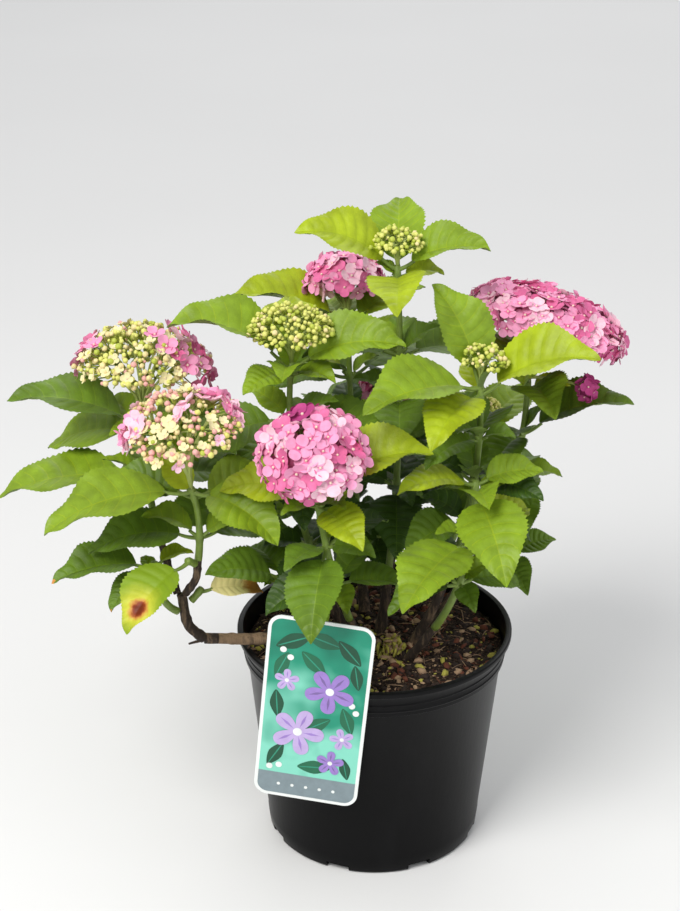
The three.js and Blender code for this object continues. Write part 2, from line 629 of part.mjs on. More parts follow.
// Solids of a mass
// A leaf is one skin, thickest along its midrib, whose stalk starts just inside the stem
function leafSolid(leaf) {
  const half = Math.max(LEAF_THICK, leaf.length * LEAST_THICK) / 2;
  const along = leaf.base.clone().sub(leaf.root).normalize();
  const normal = along.clone().cross(leaf.side);
  const stalkRing = (centre) => [[1, 0], [0, 1], [-1, 0], [0, -1]].map(([x, y]) =>
    centre.clone().addScaledVector(leaf.side, x * STALK_RADIUS).addScaledVector(normal, y * STALK_RADIUS));
  const bladeRing = (share) => [bladePoint(leaf, share, 1), bladePoint(leaf, share, 0, half),
    bladePoint(leaf, share, -1), bladePoint(leaf, share, 0, -half)];
  const root = leaf.root.clone().addScaledVector(along, 0.5);
  return loft([stalkRing(root), stalkRing(leaf.base), ...[0.2, 0.5, 0.8, 1].map(bladeRing)]);
}

// A head's core widens from the fork like its rays do and closes in a dome, smaller than the head by
// its fill, whose outline is stated as shares of the head's radius and height
const CORE_SIDES = 9;
const CORE_OUTLINE = [[1, -0.1], [0.68, 0.66], [0, 0.95]];

function headCore(head, fill) {
  const outline = [[0, -head.stem - 1], [STEM_TOP, -head.stem],
    ...CORE_OUTLINE.map(([out, up]) => [out * fill * head.radius, up * fill * head.height])];
  const core = new THREE.LatheGeometry(outline.map(([r, y]) => new THREE.Vector2(r, y)), CORE_SIDES);
  core.applyQuaternion(new THREE.Quaternion().setFromUnitVectors(vector(0, 1, 0), head.axis));
  return core.translate(...head.centre.toArray());
}

// A floret or a cluster of buds is a squashed octahedron, sunk in the core
function squashed(place, normal, turn, radius, thick) {
  const floret = new THREE.OctahedronGeometry(1);
  floret.scale(radius, thick, radius);
  floret.rotateY(turn);
  floret.applyQuaternion(new THREE.Quaternion().setFromUnitVectors(vector(0, 1, 0), normal));
  return floret.translate(place.x, place.y, place.z);
}

// Pink heads carry a floret on each patch of this area, and others this many clusters of buds
const FLORET = 11;
const FLORET_AREA = 420;
const CLUSTERS = 11;
const CLUSTER_SHARE = 0.3;
const FLORET_THICK = 0.13;
const CLUSTER_THICK = 0.7;
const PINK_FILL = 0.9;
const BUD_FILL = 0.8;

function domeSolids(head) {
  const pink = head.kind === "pink";
  const area = Math.PI * head.radius * (head.radius + head.height);
  const count = pink ? Math.round(area / FLORET_AREA) : CLUSTERS;
  const radius = pink ? FLORET : CLUSTER_SHARE * head.radius;
  const thick = pink ? FLORET_THICK * head.radius : CLUSTER_THICK * radius;
  const pieces = domePlaces(head, count).map(({ place, normal, turn }) =>
    squashed(place.addScaledVector(normal, -0.5 * thick), normal, turn, radius, thick));
  return [headCore(head, pink ? PINK_FILL : BUD_FILL), ...pieces];
}

function makeShoot(shoot, leaves) {
  const own = leaves.filter(({ owner }) => owner === shoot.name);
  const pieces = [limb(shoot.curve, [STEM_FOOT, STEM_TOP], 5, 6)];
  if (shoot.head) {
    pieces.push(...domeSolids(headOf(shoot)));
  }
  return fuse([...pieces, ...own.map(leafSolid)]);
}

// Materials
const plastic = { color: 0x1e2021, roughness: 0.35, metalness: 0 };
const compost = { color: 0x3c2b22, roughness: 1, metalness: 0 };
const card = { color: 0x5fc9a0, roughness: 0.4, metalness: 0 };
const bark = { color: 0x5a4a3c, roughness: 0.9, metalness: 0 };
const foliage = { color: 0x86ad35, roughness: 0.6, metalness: 0 };

function named(name, geometry, finish) {
  const mesh = new THREE.Mesh(geometry, new THREE.MeshStandardMaterial(finish));
  mesh.name = name;
  return mesh;
}

// The plant
const plant = new THREE.Group();
plant.add(named("pot", makePot(), plastic));
plant.add(named("compost", makeSoil(), compost));
plant.add(placeTag(named("name_tag", makeTag(), card)));

const limbs = new THREE.Group();
CANES.forEach((cane) => limbs.add(named(cane.name, makeCane(cane), bark)));
plant.add(limbs);

const grownLeaves = growAll();
const masses = new THREE.Group();
SHOOTS.forEach((shoot) => masses.add(named(shoot.name, makeShoot(shoot, grownLeaves), foliage)));
plant.add(masses);

export default plant;
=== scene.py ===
"""A mophead hydrangea in its nursery pot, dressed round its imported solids.

The rule that places canes, stems, leaves and heads works in millimetres, with +Z up and its origin in
the middle of the pot's flat underside. It is the rule of the part's own source, carried to finer twigs,
florets and buds. Finished meshes are in metres.
"""

import math
from dataclasses import dataclass, field

import bmesh
import bpy
import numpy as np
from bpy.props import FloatProperty, FloatVectorProperty, IntProperty, PointerProperty
from mathutils import Matrix, Vector, noise


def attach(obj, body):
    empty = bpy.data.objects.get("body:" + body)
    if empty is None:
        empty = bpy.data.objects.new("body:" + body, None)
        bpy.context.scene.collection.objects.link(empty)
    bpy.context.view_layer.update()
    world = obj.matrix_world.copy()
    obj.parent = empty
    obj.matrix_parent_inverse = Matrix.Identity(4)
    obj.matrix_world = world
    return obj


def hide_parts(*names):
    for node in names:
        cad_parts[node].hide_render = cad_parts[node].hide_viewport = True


bl_info = {
    "name": "Potted Hydrangea",
    "version": (1, 0, 0),
    "blender": (4, 5, 0),
    "location": "View3D > Sidebar > Hydrangea",
    "description": "Dresses the solids of a potted mophead hydrangea with leaves, blossom, bark and compost",
    "category": "Add Mesh",
}

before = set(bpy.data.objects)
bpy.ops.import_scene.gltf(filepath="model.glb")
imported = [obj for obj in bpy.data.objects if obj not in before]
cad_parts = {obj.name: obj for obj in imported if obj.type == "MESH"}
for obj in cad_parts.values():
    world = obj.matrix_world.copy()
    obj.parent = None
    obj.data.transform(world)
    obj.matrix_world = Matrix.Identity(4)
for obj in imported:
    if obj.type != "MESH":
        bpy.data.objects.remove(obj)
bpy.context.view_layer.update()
MM = 0.001

# Sizes of the pot, its compost and its tag, in millimetres, as the solids have them
POT_HEIGHT = 152.4
RIM_RADIUS = 92.8
FOOT_RADIUS = 72.7
WALL = 1.6
COLLAR_DEPTH = 20
COLLAR_STEP = 2.2
LIP = 2.4
LIP_DEPTH = 3.2
RIB_RELIEF = 0.7
RIB_WIDTH = 1.6
RIBS_ABOVE = (3.5, 8)
EDGE = 0.6
FOOT_RECESS = 1.2
FOOT_RING = (12, 11)
FOOT_ROUND = 1.5
GROOVE_HEIGHT = 12
GROOVE_WIDTH = 0.8
GROOVE_DEPTH = 0.25
FLOOR = 2.4
DRAIN_COUNT = 8
DRAIN_WIDTH = 16
DRAIN_HEIGHT = 5
DRAIN_DEPTH = 9
DRAIN_TURN = 0.55
BEVELLED = math.radians(24)
CREASED = math.radians(40)
SOIL_TOP = 142
SOIL_EDGE = 138
SOIL_FLAT_RADIUS = 60
SOIL_DEPTH = 12
SOIL_RINGS = 44
SOIL_SPOKES = 150
TAG_WIDTH = 68
TAG_HEIGHT = 134
TAG_THICK = 0.8
TAG_CORNER = 9
TAG_TOP = 204
TAG_AZIMUTH = -98
TAG_SLIDE = -21
TAG_LEAN = 5.5
HOOK_WIDTH = 16
HOOK_REACH = 16

# Sizes of stems and leaves, and the room that they keep, in millimetres and degrees
SEAT = 0.3
STEM_FOOT = 2.6
STEM_TOP = 1.9
SIDE_ANGLE = 52
SIDE_SEAT = 0.35
STALK_SHARE = 0.17
LEAF_ASPECT = 0.33
LEAF_FOLD = 14
LEAF_DROOP = 40
WIDE_LOW = 0.75
FULLNESS = 0.9
CLEAR = 2.8
OWN_CLEAR = 0.8
YOUNG_CLEAR = 2.6
HEAD_CLEAR = 6
SUNWARD = 20
SUN_AZIMUTH = -110
TOP_NODE = 3
BELOW_TOP = 5
NODE_STEP = 31
MOST_NODES = 7
SPARE = 12
TURN_SPREAD = 24
LEAST_REACH = 0.8
REACH_SPREAD = 0.35
LOW_NODE = 4
LOW_REACH = 0.85
TOP_RISE = 34
RISE_STEP = 9
RISE_SPREAD = 16
DROOP_SPREAD = 18
ROLL_SPREAD = 20
AXIL_SEED = 300
AXIL_TURN = 30
AXIL_SIDES = (0, 85)
AXIL_REACH = 0.48
AXIL_RISE = 34
AXIL_LEAST = 0.7
AXIL_SPREAD = 0.6
STALK_SAMPLES = (0.4, 0.6, 0.8)
DOME_UNDER = 0.4
DOME_SPAN = math.radians(104)
GOLDEN = math.pi * (3 - math.sqrt(5))
BLADE_ROWS = 18
BLADE_COLUMNS = 10
CANE_PIECES = 8
STEM_PIECES = 6

# Sides and steps of each kind of rod, and how near corners lie that are joined, in millimetres
CANE_ROD = (18, 56)
STEM_ROD = (10, 40)
STALK_ROD = (8, 6)
RAY_ROD = (6, 4)
TWIG_ROD = (4, 1)
BUD_ROD = (3, 1)
FIBRE_ROD = (4, 4)
JOINED = 0.01

# Turns, tips and scales that a leaf tries in turn until it has room
TRIES = [
    (0, 0, 1), (6, 4, 1), (-6, -4, 1), (0, 7, 1), (0, -7, 1),
    (12, 0, 1), (-12, 0, 1), (0, 12, 1), (0, -12, 1),
    (24, 6, 0.9), (-24, 6, 0.9), (14, -16, 0.85), (-14, -16, 0.85), (34, 14, 0.75), (-34, 14, 0.75),
    (0, -30, 0.7), (50, 0, 0.7), (-50, 0, 0.7), (24, -34, 0.65), (-24, -34, 0.65),
]


@dataclass
class Cane:
    """A woody limb: its radius at both ends and the points it runs through."""

    name: str
    radii: tuple
    points: list
    follows: str = ""
    aside: tuple = (0, 0)


@dataclass
class Head:
    """A flower head: a dome on rays that spread from its shoot's fork."""

    kind: str
    at: tuple
    radius: float
    height: float


@dataclass
class Shoot:
    """A green stem with its leaves, from its foot on a cane to the fork under its head.

    Leaves that show from the front are stated as node, azimuth, reach, rise and roll.
    """

    name: str
    on: str
    fork: tuple
    turn: float
    leaf: float
    seed: int
    beside: float = 0.0
    bare: float = NODE_STEP
    nodes: int = MOST_NODES
    single: bool = False
    head: Head = None
    shows: list = field(default_factory=list)


CANES = [
    Cane("cane_centre", (4.0, 3.1), [(4, 6, SOIL_TOP), (7, 8, 162), (9, 10, 182)]),
    Cane("cane_left_centre", (4.0, 3.0), [(-18, 2, SOIL_TOP), (-28, -2, 166), (-36, -5, 190)]),
    Cane("cane_front", (3.8, 2.9), [(-6, -26, SOIL_TOP), (-11, -36, 160), (-17, -44, 180)]),
    Cane("cane_right_front", (3.8, 2.9), [(26, -8, SOIL_TOP), (37, -12, 166), (45, -16, 190)]),
    Cane("cane_front_right", (3.4, 2.8), [(22, -30, SOIL_TOP), (30, -38, 158), (38, -45, 174)]),
    Cane("cane_right", (4.2, 3.1), [(40, 14, SOIL_TOP), (56, 20, 166), (69, 25, 188)]),
    Cane("cane_rear", (4.0, 3.0), [(-6, 34, SOIL_TOP), (-8, 46, 164), (-10, 56, 188)]),
    Cane("cane_rear_right", (3.6, 2.9), [(28, 40, SOIL_TOP), (42, 58, 158), (54, 74, 174)]),
    Cane("cane_rear_left", (3.6, 2.9), [(-34, 30, SOIL_TOP), (-52, 47, 158), (-66, 60, 174)]),
    Cane("cane_far_rear", (3.6, 2.9), [(8, 56, SOIL_TOP), (12, 74, 157), (16, 90, 172)]),
    Cane("cane_left_low", (4.4, 3.6), [(-46, -22, SOIL_TOP), (-60, -26, 154), (-86, -32, 158.5),
         (-112, -39, 163)]),
    Cane("cane_left_high", (3.5, 3.3), [(-112, -39, 163), (-122, -41, 174), (-126, -39, 196)],
         follows="cane_left_low"),
    Cane("bough_left_rear", (2.7, 2.5), [(-126, -39, 196), (-134, -32, 210), (-139, -26, 226)],
         follows="cane_left_high", aside=(-3, 1.2)),
    Cane("bough_left_front", (2.7, 2.5), [(-126, -39, 196), (-116, -44, 210), (-114, -45, 224)],
         follows="cane_left_high", aside=(3, -1.2)),
]

SHOOTS = [
    Shoot("shoot_top", "cane_centre", fork=(13, 20, 400), bare=52, turn=4, leaf=78, seed=11,
          head=Head("buds", (13, 20, 413), 17, 12), shows=[(0, 186, 74, 42, -10), (0, -8, 64, 35),
          (1, -92, 68, 16), (1, 88, 68, 50)]),
    Shoot("shoot_left_centre", "cane_left_centre", fork=(-54, -10, 346), turn=0, leaf=78, seed=12,
          head=Head("buds", (-54, -10, 366), 28, 17), shows=[(0, 180, 88, 42, 12), (0, -8, 78, 32),
          (1, 92, 68, 48), (1, -100, 58, 4)]),
    Shoot("shoot_far_left", "bough_left_rear", fork=(-152, 10, 298), turn=4, leaf=72, seed=13,
          head=Head("opening", (-150, 15, 331), 45, 31), shows=[(0, 184, 91, 28, 12), (0, 10, 54, 16),
          (1, 156, 80, -4), (1, -30, 46, 0), (2, 186, 100, 10, 16)]),
    Shoot("shoot_left", "bough_left_front", fork=(-116, -54, 279), turn=12, leaf=70, seed=14,
          head=Head("opening", (-120, -66, 325), 37, 15), shows=[(0, 187, 100, 2, 10),
          (0, -30, 70, 2, 4), (1, 168, 60, 22), (1, 20, 58, 20)]),
    Shoot("shoot_front", "cane_front", fork=(-38, -66, 280), turn=8, leaf=70, seed=35,
          head=Head("pink", (-40, -77, 310), 35, 27), shows=[(0, 6, 82, 42), (0, 172, 64, 20),
          (1, -57, 52, 4), (2, -100, 70, -18), (3, 12, 50, 4), (3, 195, 52, 0)]),
    Shoot("shoot_rear", "cane_rear", fork=(-18, 84, 338), turn=20, leaf=76, seed=16,
          head=Head("pink", (-20, 90, 364), 27, 21)),
    Shoot("shoot_far_right", "cane_right", fork=(102, 50, 312), nodes=4, turn=4, leaf=76, seed=17,
          head=Head("pink", (113, 58, 345), 57, 26), shows=[(0, 75, 64, 12), (2, -2, 80, 35, -12),
          (2, 240, 56, 4), (3, -84, 52, -14)]),
    Shoot("shoot_right_front", "cane_right_front", fork=(64, -30, 340), nodes=5, turn=15, leaf=76,
          seed=18, head=Head("buds", (66, -30, 354), 16, 12), shows=[(0, 135, 74, 70), (0, 202, 86, 10),
          (1, -18, 84, 42), (1, -122, 68, 8), (2, 75, 60, 14), (2, 222, 50, 12)]),
    Shoot("shoot_front_right", "cane_front_right", fork=(62, -44, 280), turn=20, leaf=70, seed=19,
          shows=[(0, 205, 58, 24), (0, 10, 46, 24), (1, -78, 80, -6), (2, 236, 84, 4), (3, 200, 54, 0),
          (3, 24, 50, 6)]),
    Shoot("shoot_rear_right", "cane_rear_right", fork=(74, 116, 240), turn=40, leaf=76, seed=20,
          head=Head("buds", (76, 122, 256), 19, 13), shows=[(1, -80, 56, 6)]),
    Shoot("shoot_rear_left", "cane_rear_left", fork=(-118, 92, 228), turn=35, leaf=76, seed=21,
          head=Head("opening", (-122, 96, 252), 30, 20)),
    Shoot("shoot_far_rear", "cane_far_rear", fork=(14, 134, 232), turn=10, leaf=76, seed=22,
          head=Head("pink", (14, 142, 256), 32, 23)),
    Shoot("spray_low_left", "cane_left_high", fork=(-142, -47, 224), beside=0.7, turn=10, leaf=46,
          seed=23, shows=[(0, 190, 68, 10, 8), (0, 20, 28, 30), (1, 215, 40, -6)]),
    Shoot("spray_spotted", "bough_left_front", fork=(-120, -58, 230), beside=0.85, turn=18, leaf=40,
          seed=25, single=True, shows=[(0, 210, 64, -14)]),
    Shoot("spray_dry", "cane_left_high", fork=(-113, -38, 200), beside=0.8, turn=0, leaf=50, seed=24,
          single=True, shows=[(0, 12, 44, 8)]),
    Shoot("spray_low_centre", "cane_left_centre", fork=(-62, -36, 208), beside=0.7, turn=30, leaf=62,
          seed=29),
    Shoot("spray_low_right", "cane_right", fork=(90, 0, 206), beside=0.7, turn=20, leaf=46, seed=27),
    Shoot("spray_low_rear", "cane_rear", fork=(-40, 84, 206), beside=0.6, turn=50, leaf=66, seed=28),
]


# Seeded numbers and curves


def seeded(seed):
    """Gives numbers from 0 to 1, the same as the source's."""
    mask = 0xFFFFFFFF
    state = seed & mask

    def draw():
        nonlocal state
        state = (state + 0x6D2B79F5) & mask
        mixed = ((state ^ (state >> 15)) * (state | 1)) & mask
        mixed ^= (mixed + (mixed ^ (mixed >> 7)) * (mixed | 61)) & mask
        return (mixed ^ (mixed >> 14)) / 4294967296

    return draw


def unit(vector):
    return vector / np.linalg.norm(vector)


def lerp(low, high, share):
    return low + (high - low) * share


class Curve:
    """A smooth line, read at a share of its parameter or of its length."""

    SAMPLES = 200
    STEP = 0.0001

    def __init__(self, point):
        self.point = point
        samples = np.array([point(i / self.SAMPLES) for i in range(self.SAMPLES + 1)])
        steps = np.linalg.norm(np.diff(samples, axis=0), axis=1)
        self.lengths = np.concatenate([[0], np.cumsum(steps)])
        self.length = self.lengths[-1]

    def tangent(self, share):
        ahead = self.point(min(1, share + self.STEP))
        return unit(ahead - self.point(max(0, share - self.STEP)))

    def share_at(self, below):
        """The parameter a given length short of the end."""
        shares = np.arange(self.SAMPLES + 1) / self.SAMPLES
        return float(np.interp(self.length - below, self.lengths, shares))


def smooth_through(points):
    """A centripetal curve through points."""
    points = [np.array(p, float) for p in points]
    spans = [2 * points[0] - points[1], *points, 2 * points[-1] - points[-2]]
    last = len(points) - 2

    def point(share):
        place = share * (last + 1)
        k = min(int(place), last)
        weight = place - k
        before, start, end, after = spans[k:k + 4]
        gaps = [math.sqrt(np.linalg.norm(b - a)) for a, b in ((before, start), (start, end), (end, after))]
        leave = (start - before) / gaps[0] - (end - before) / (gaps[0] + gaps[1]) + (end - start) / gaps[1]
        arrive = (end - start) / gaps[1] - (after - start) / (gaps[1] + gaps[2]) + (after - end) / gaps[2]
        leave = leave * gaps[1]
        arrive = arrive * gaps[1]
        square = 3 * (end - start) - 2 * leave - arrive
        cube = 2 * (start - end) + leave + arrive
        return start + leave * weight + square * weight ** 2 + cube * weight ** 3

    return Curve(point)


def arched(start, bend, end):
    """A curve that leaves its start towards a bend and arrives at its end from it."""
    return Curve(lambda t: (1 - t) ** 2 * start + 2 * (1 - t) * t * bend + t ** 2 * end)


# Limbs


def cane_foot(cane):
    """Where a cane starts, and the direction that its cut foot faces."""
    if not cane.follows:
        return np.array(cane.points[0], float) + (0, 0, SEAT), np.array([0.0, 0.0, 1.0])
    below = cane_curve(cane_named(cane.follows))
    normal = below.tangent(1)
    across = np.array([*cane.aside, 0.0])
    across = across - normal * across.dot(normal)
    return below.point(1) + normal * SEAT + across, normal


def cane_named(name):
    return next(cane for cane in CANES if cane.name == name)


def cane_curve(cane):
    return smooth_through([cane_foot(cane)[0], *cane.points[1:]])


def stem_curve(shoot):
    """A stem from the end of its limb, or from beside it, to its fork."""
    cane = cane_named(shoot.on)
    curve = cane_curve(cane)
    fork = np.array(shoot.fork, float)
    at = shoot.beside or 1
    seat = curve.point(at)
    grain = curve.tangent(at)
    if shoot.beside:
        lean = math.cos(math.radians(SIDE_ANGLE))
        out = math.sin(math.radians(SIDE_ANGLE))
        sideways = fork - seat
        sideways = unit(sideways - grain * sideways.dot(grain))
        along = sideways * out + grain * lean
        away = (lerp(*cane.radii, at) + SIDE_SEAT + STEM_FOOT * lean) / out
    else:
        along = grain
        away = SEAT
    foot = seat + along * away
    bend = foot + along * np.linalg.norm(fork - foot) / 2
    return arched(foot, bend, fork)


def limb_pieces(curve, radii, count, owner=None):
    """A limb as straight tapering pieces: start, end, both radii and the shoot that owns it."""
    return [
        (curve.point(i / count), curve.point((i + 1) / count),
         lerp(*radii, i / count), lerp(*radii, (i + 1) / count), owner)
        for i in range(count)
    ]


# Leaves


@dataclass
class Leaf:
    """One leaf: its blade is an arc along the midrib, folded up at both sides and rolled about it."""

    root: np.ndarray
    base: np.ndarray
    outward: np.ndarray
    side: np.ndarray
    rise: float
    droop: float
    roll: float
    length: float
    owner: str
    node: int
    stated: bool
    young: bool
    number: int = 0

    @property
    def width(self):
        return self.length * LEAF_ASPECT


def grow_leaf(wish, turn, tip, scale, owner):
    azimuth = math.radians(wish["azimuth"] + turn)
    rise = math.radians(wish["rise"] + tip)
    outward = np.array([math.cos(azimuth), math.sin(azimuth), 0.0])
    roll = math.radians(wish["roll"])
    roll += math.radians(SUNWARD) * math.sin(azimuth - math.radians(SUN_AZIMUTH))
    reach = wish["reach"] * scale
    stalk = reach * STALK_SHARE
    base = wish["root"] + outward * stalk * math.cos(rise) + (0, 0, stalk * math.sin(rise))
    return Leaf(wish["root"], base, outward, np.array([-outward[1], outward[0], 0.0]), rise,
                math.radians(wish["droop"]), roll, reach - stalk, owner, wish["node"], wish["stated"],
                wish["young"])


def blade_profile(along):
    return np.maximum(0, np.sin(math.pi * along ** WIDE_LOW)) ** FULLNESS


def blade_points(leaf, along, across, lift=0.0, widen=1.0):
    """Points on a blade: along from 0 to 1, across from -1 to 1, lifted off its face."""
    angle = leaf.rise - leaf.droop * along
    bend = leaf.length / leaf.droop
    run = bend * (math.sin(leaf.rise) - np.sin(angle))
    climb = bend * (np.cos(angle) - math.cos(leaf.rise))
    out = across * leaf.width * blade_profile(along) * widen
    up = np.abs(out) * math.tan(math.radians(LEAF_FOLD)) + lift
    sideways = out * math.cos(leaf.roll) - up * math.sin(leaf.roll)
    normal = out * math.sin(leaf.roll) + up * math.cos(leaf.roll)
    points = leaf.base + np.outer(run - normal * np.sin(angle), leaf.outward) + np.outer(sideways, leaf.side)
    points[:, 2] += climb + normal * np.cos(angle)
    return points


def near_blade(leaf, points, margin):
    from_base = points - leaf.base
    bend = leaf.length / leaf.droop
    run = from_base @ leaf.outward - bend * math.sin(leaf.rise)
    climb = from_base[:, 2] + bend * math.cos(leaf.rise)
    along = (leaf.rise - np.arctan2(-run, climb)) / leaf.droop
    normal = np.hypot(run, climb) - bend
    sideways = from_base @ leaf.side
    out = sideways * math.cos(leaf.roll) + normal * math.sin(leaf.roll)
    up = normal * math.cos(leaf.roll) - sideways * math.sin(leaf.roll)
    half = leaf.width * blade_profile(np.clip(along, 0, 1))
    beside = (along >= -margin / leaf.length) & (along <= 1 + margin / leaf.length)
    fold = np.abs(out) * math.tan(math.radians(LEAF_FOLD))
    return bool(np.any(beside & (np.abs(out) < half + margin) & (np.abs(up - fold) < margin)))


def near_limbs(limbs, points, margin):
    if not limbs:
        return False
    start, end, foot, top = (np.array([limb[i] for limb in limbs], float) for i in range(4))
    axis = end - start
    from_start = points[:, None, :] - start
    share = np.clip(np.einsum("pld,ld->pl", from_start, axis) / np.sum(axis ** 2, axis=1), 0, 1)
    distance = np.linalg.norm(from_start - share[:, :, None] * axis, axis=2)
    return bool(np.any(distance < lerp(foot, top, share) + margin))


def near_head(dome, points, margin):
    from_centre = points - dome.centre
    up = from_centre @ dome.axis
    out = np.sqrt(np.maximum(0, np.sum(from_centre ** 2, axis=1) - up ** 2))
    depth = np.where(up > 0, dome.height, dome.height * DOME_UNDER)
    over_rays = (up < 0) & (up > -dome.stem) & (out < dome.radius * (1 + up / dome.stem) + margin)
    return bool(np.any(over_rays | (np.hypot(up / (depth + margin), out / (dome.radius + margin)) < 1)))


def near_tag(points, margin):
    azimuth = math.radians(TAG_AZIMUTH)
    outward = points[:, 0] * math.cos(azimuth) + points[:, 1] * math.sin(azimuth) - RIM_RADIUS
    sideways = points[:, 1] * math.cos(azimuth) - points[:, 0] * math.sin(azimuth) - TAG_SLIDE
    beside = (np.abs(outward) < 2 * margin) & (np.abs(sideways) < TAG_WIDTH * 0.6 + margin)
    return bool(np.any(beside & (points[:, 2] < TAG_TOP + 2 * margin)))


def near_pot(points, margin):
    low = points[:, 2] < POT_HEIGHT + 2 * margin
    return bool(np.any(low & (np.hypot(points[:, 0], points[:, 1]) < RIM_RADIUS + 2 * margin)))


# Heads


@dataclass
class Dome:
    """A head's dome in place, with the length of its rays."""

    kind: str
    owner: str
    seed: int
    fork: np.ndarray
    centre: np.ndarray
    axis: np.ndarray
    stem: float
    radius: float
    height: float

    def area(self):
        """About the area of its face."""
        return math.pi * self.radius * (self.radius + self.height)

    def places(self, count, share=1.0, span=DOME_SPAN):
        """Points, normals and turns spaced by the golden angle, on a dome of a share of the full size."""
        across = unit(np.cross((0, 1, 0), self.axis))
        deep = np.cross(self.axis, across)
        i = np.arange(count)
        tilt = np.arccos(1 - (i + 0.5) / count * (1 - math.cos(span)))
        turn = i * GOLDEN
        out = np.outer(np.cos(turn), across) + np.outer(np.sin(turn), deep)
        rim = np.sin(tilt)[:, None] * out
        place = self.centre + share * (self.radius * rim + np.outer(self.height * np.cos(tilt), self.axis))
        normal = rim / self.radius + np.outer(np.cos(tilt) / self.height, self.axis)
        normal /= np.linalg.norm(normal, axis=1)[:, None]
        return place, normal, turn, tilt


def dome_of(shoot):
    centre = np.array(shoot.head.at, float)
    fork = np.array(shoot.fork, float)
    rays = centre - fork
    return Dome(shoot.head.kind, shoot.name, shoot.seed, fork, centre, unit(rays), np.linalg.norm(rays),
                shoot.head.radius, shoot.head.height)


# Growth: stated leaves grow first, then the rule's own, then young ones in their axils. A leaf without
# room is turned, shrunk or left out.


def node_shares(shoot, curve):
    shares = []
    for k in range(shoot.nodes):
        below = TOP_NODE + (BELOW_TOP if k > 0 else 0)
        below += shoot.bare + (k - 2) * NODE_STEP if k > 1 else 0
        if k == 0 or below < curve.length - SPARE:
            shares.append(curve.share_at(below))
    return shares


def wishes(shoot, curve):
    draw = seeded(shoot.seed)
    stated = []
    ruled = []
    for k, share in enumerate(node_shares(shoot, curve)):
        shown = [show for show in shoot.shows if show[0] == k]
        for side in range(2):
            chance = [draw() for _ in range(5)]
            own = shown[side] if side < len(shown) else None
            stray = TURN_SPREAD * (chance[0] - 0.5)
            free = shoot.turn + 90 * k + 180 * side + stray
            if len(shown) == 1:
                free = shown[0][1] + 180 + stray
            reach = shoot.leaf * (LEAST_REACH + REACH_SPREAD * chance[1]) * (1 if k < LOW_NODE else LOW_REACH)
            rise = TOP_RISE - RISE_STEP * k + RISE_SPREAD * (chance[2] - 0.5)
            roll = ROLL_SPREAD * (chance[4] - 0.5)
            if own:
                free, reach, rise = own[1:4]
                roll = own[4] if len(own) > 4 else roll
            wish = {"root": curve.point(share), "node": k, "azimuth": free, "reach": reach, "rise": rise,
                    "droop": LEAF_DROOP + DROOP_SPREAD * (chance[3] - 0.5), "roll": roll, "stated": bool(own),
                    "young": False}
            if own:
                stated.append(wish)
            elif not shoot.single:
                ruled.append(wish)
    return stated, ruled


def axils(shoot, grown):
    """Young leaves, one in the axil of each leaf below the first pair and one beside it."""
    draw = seeded(shoot.seed + AXIL_SEED)
    return [
        {**wish, "azimuth": wish["azimuth"] + beside + AXIL_TURN * (2 * draw() - 1),
         "reach": shoot.leaf * AXIL_REACH * (AXIL_LEAST + AXIL_SPREAD * draw()),
         "rise": wish["rise"] + AXIL_RISE, "stated": False, "young": True}
        for beside in AXIL_SIDES for wish in grown if wish["node"] > 0
    ]


class Room:
    """Everything that leaves keep clear of, and the leaves that have grown."""

    def __init__(self):
        self.limbs = []
        self.domes = []
        self.leaves = []
        self.samples = []
        columns = 2 * np.arange(BLADE_COLUMNS + 1) / BLADE_COLUMNS - 1
        rows = np.arange(BLADE_ROWS + 1) / BLADE_ROWS
        self.along = np.repeat(rows, len(columns))
        self.across = np.tile(columns, len(rows))

    def sample(self, leaf):
        """Points over the blade and along the stalk, with the middle and radius of their hull."""
        blade = blade_points(leaf, self.along, self.across)
        stalk = np.array([lerp(leaf.root, leaf.base, share) for share in STALK_SAMPLES])
        held = np.vstack([leaf.root, blade])
        centre = (held.min(axis=0) + held.max(axis=0)) / 2
        return np.vstack([blade, stalk]), blade, centre, np.linalg.norm(held - centre, axis=1).max()

    def clear(self, leaf, sample):
        points, blade, centre, radius = sample
        if near_pot(blade, CLEAR) or near_tag(blade, CLEAR):
            return False
        if near_limbs([limb for limb in self.limbs if limb[4] != leaf.owner], points, CLEAR):
            return False
        if any(near_head(dome, points, HEAD_CLEAR) for dome in self.domes if dome.owner != leaf.owner):
            return False
        for other, (places, _, middle, reach) in zip(self.leaves, self.samples):
            margin = YOUNG_CLEAR if leaf.young else OWN_CLEAR if other.owner == leaf.owner else CLEAR
            if np.linalg.norm(middle - centre) <= radius + reach:
                if near_blade(other, points, margin) or near_blade(leaf, places, margin):
                    return False
        return True

    def grow(self, wish, shoot):
        for turn, tip, scale in TRIES:
            leaf = grow_leaf(wish, turn, tip, scale, shoot.name)
            sample = self.sample(leaf)
            if self.clear(leaf, sample):
                leaf.number = len(self.leaves)
                self.leaves.append(leaf)
                self.samples.append(sample)
                return


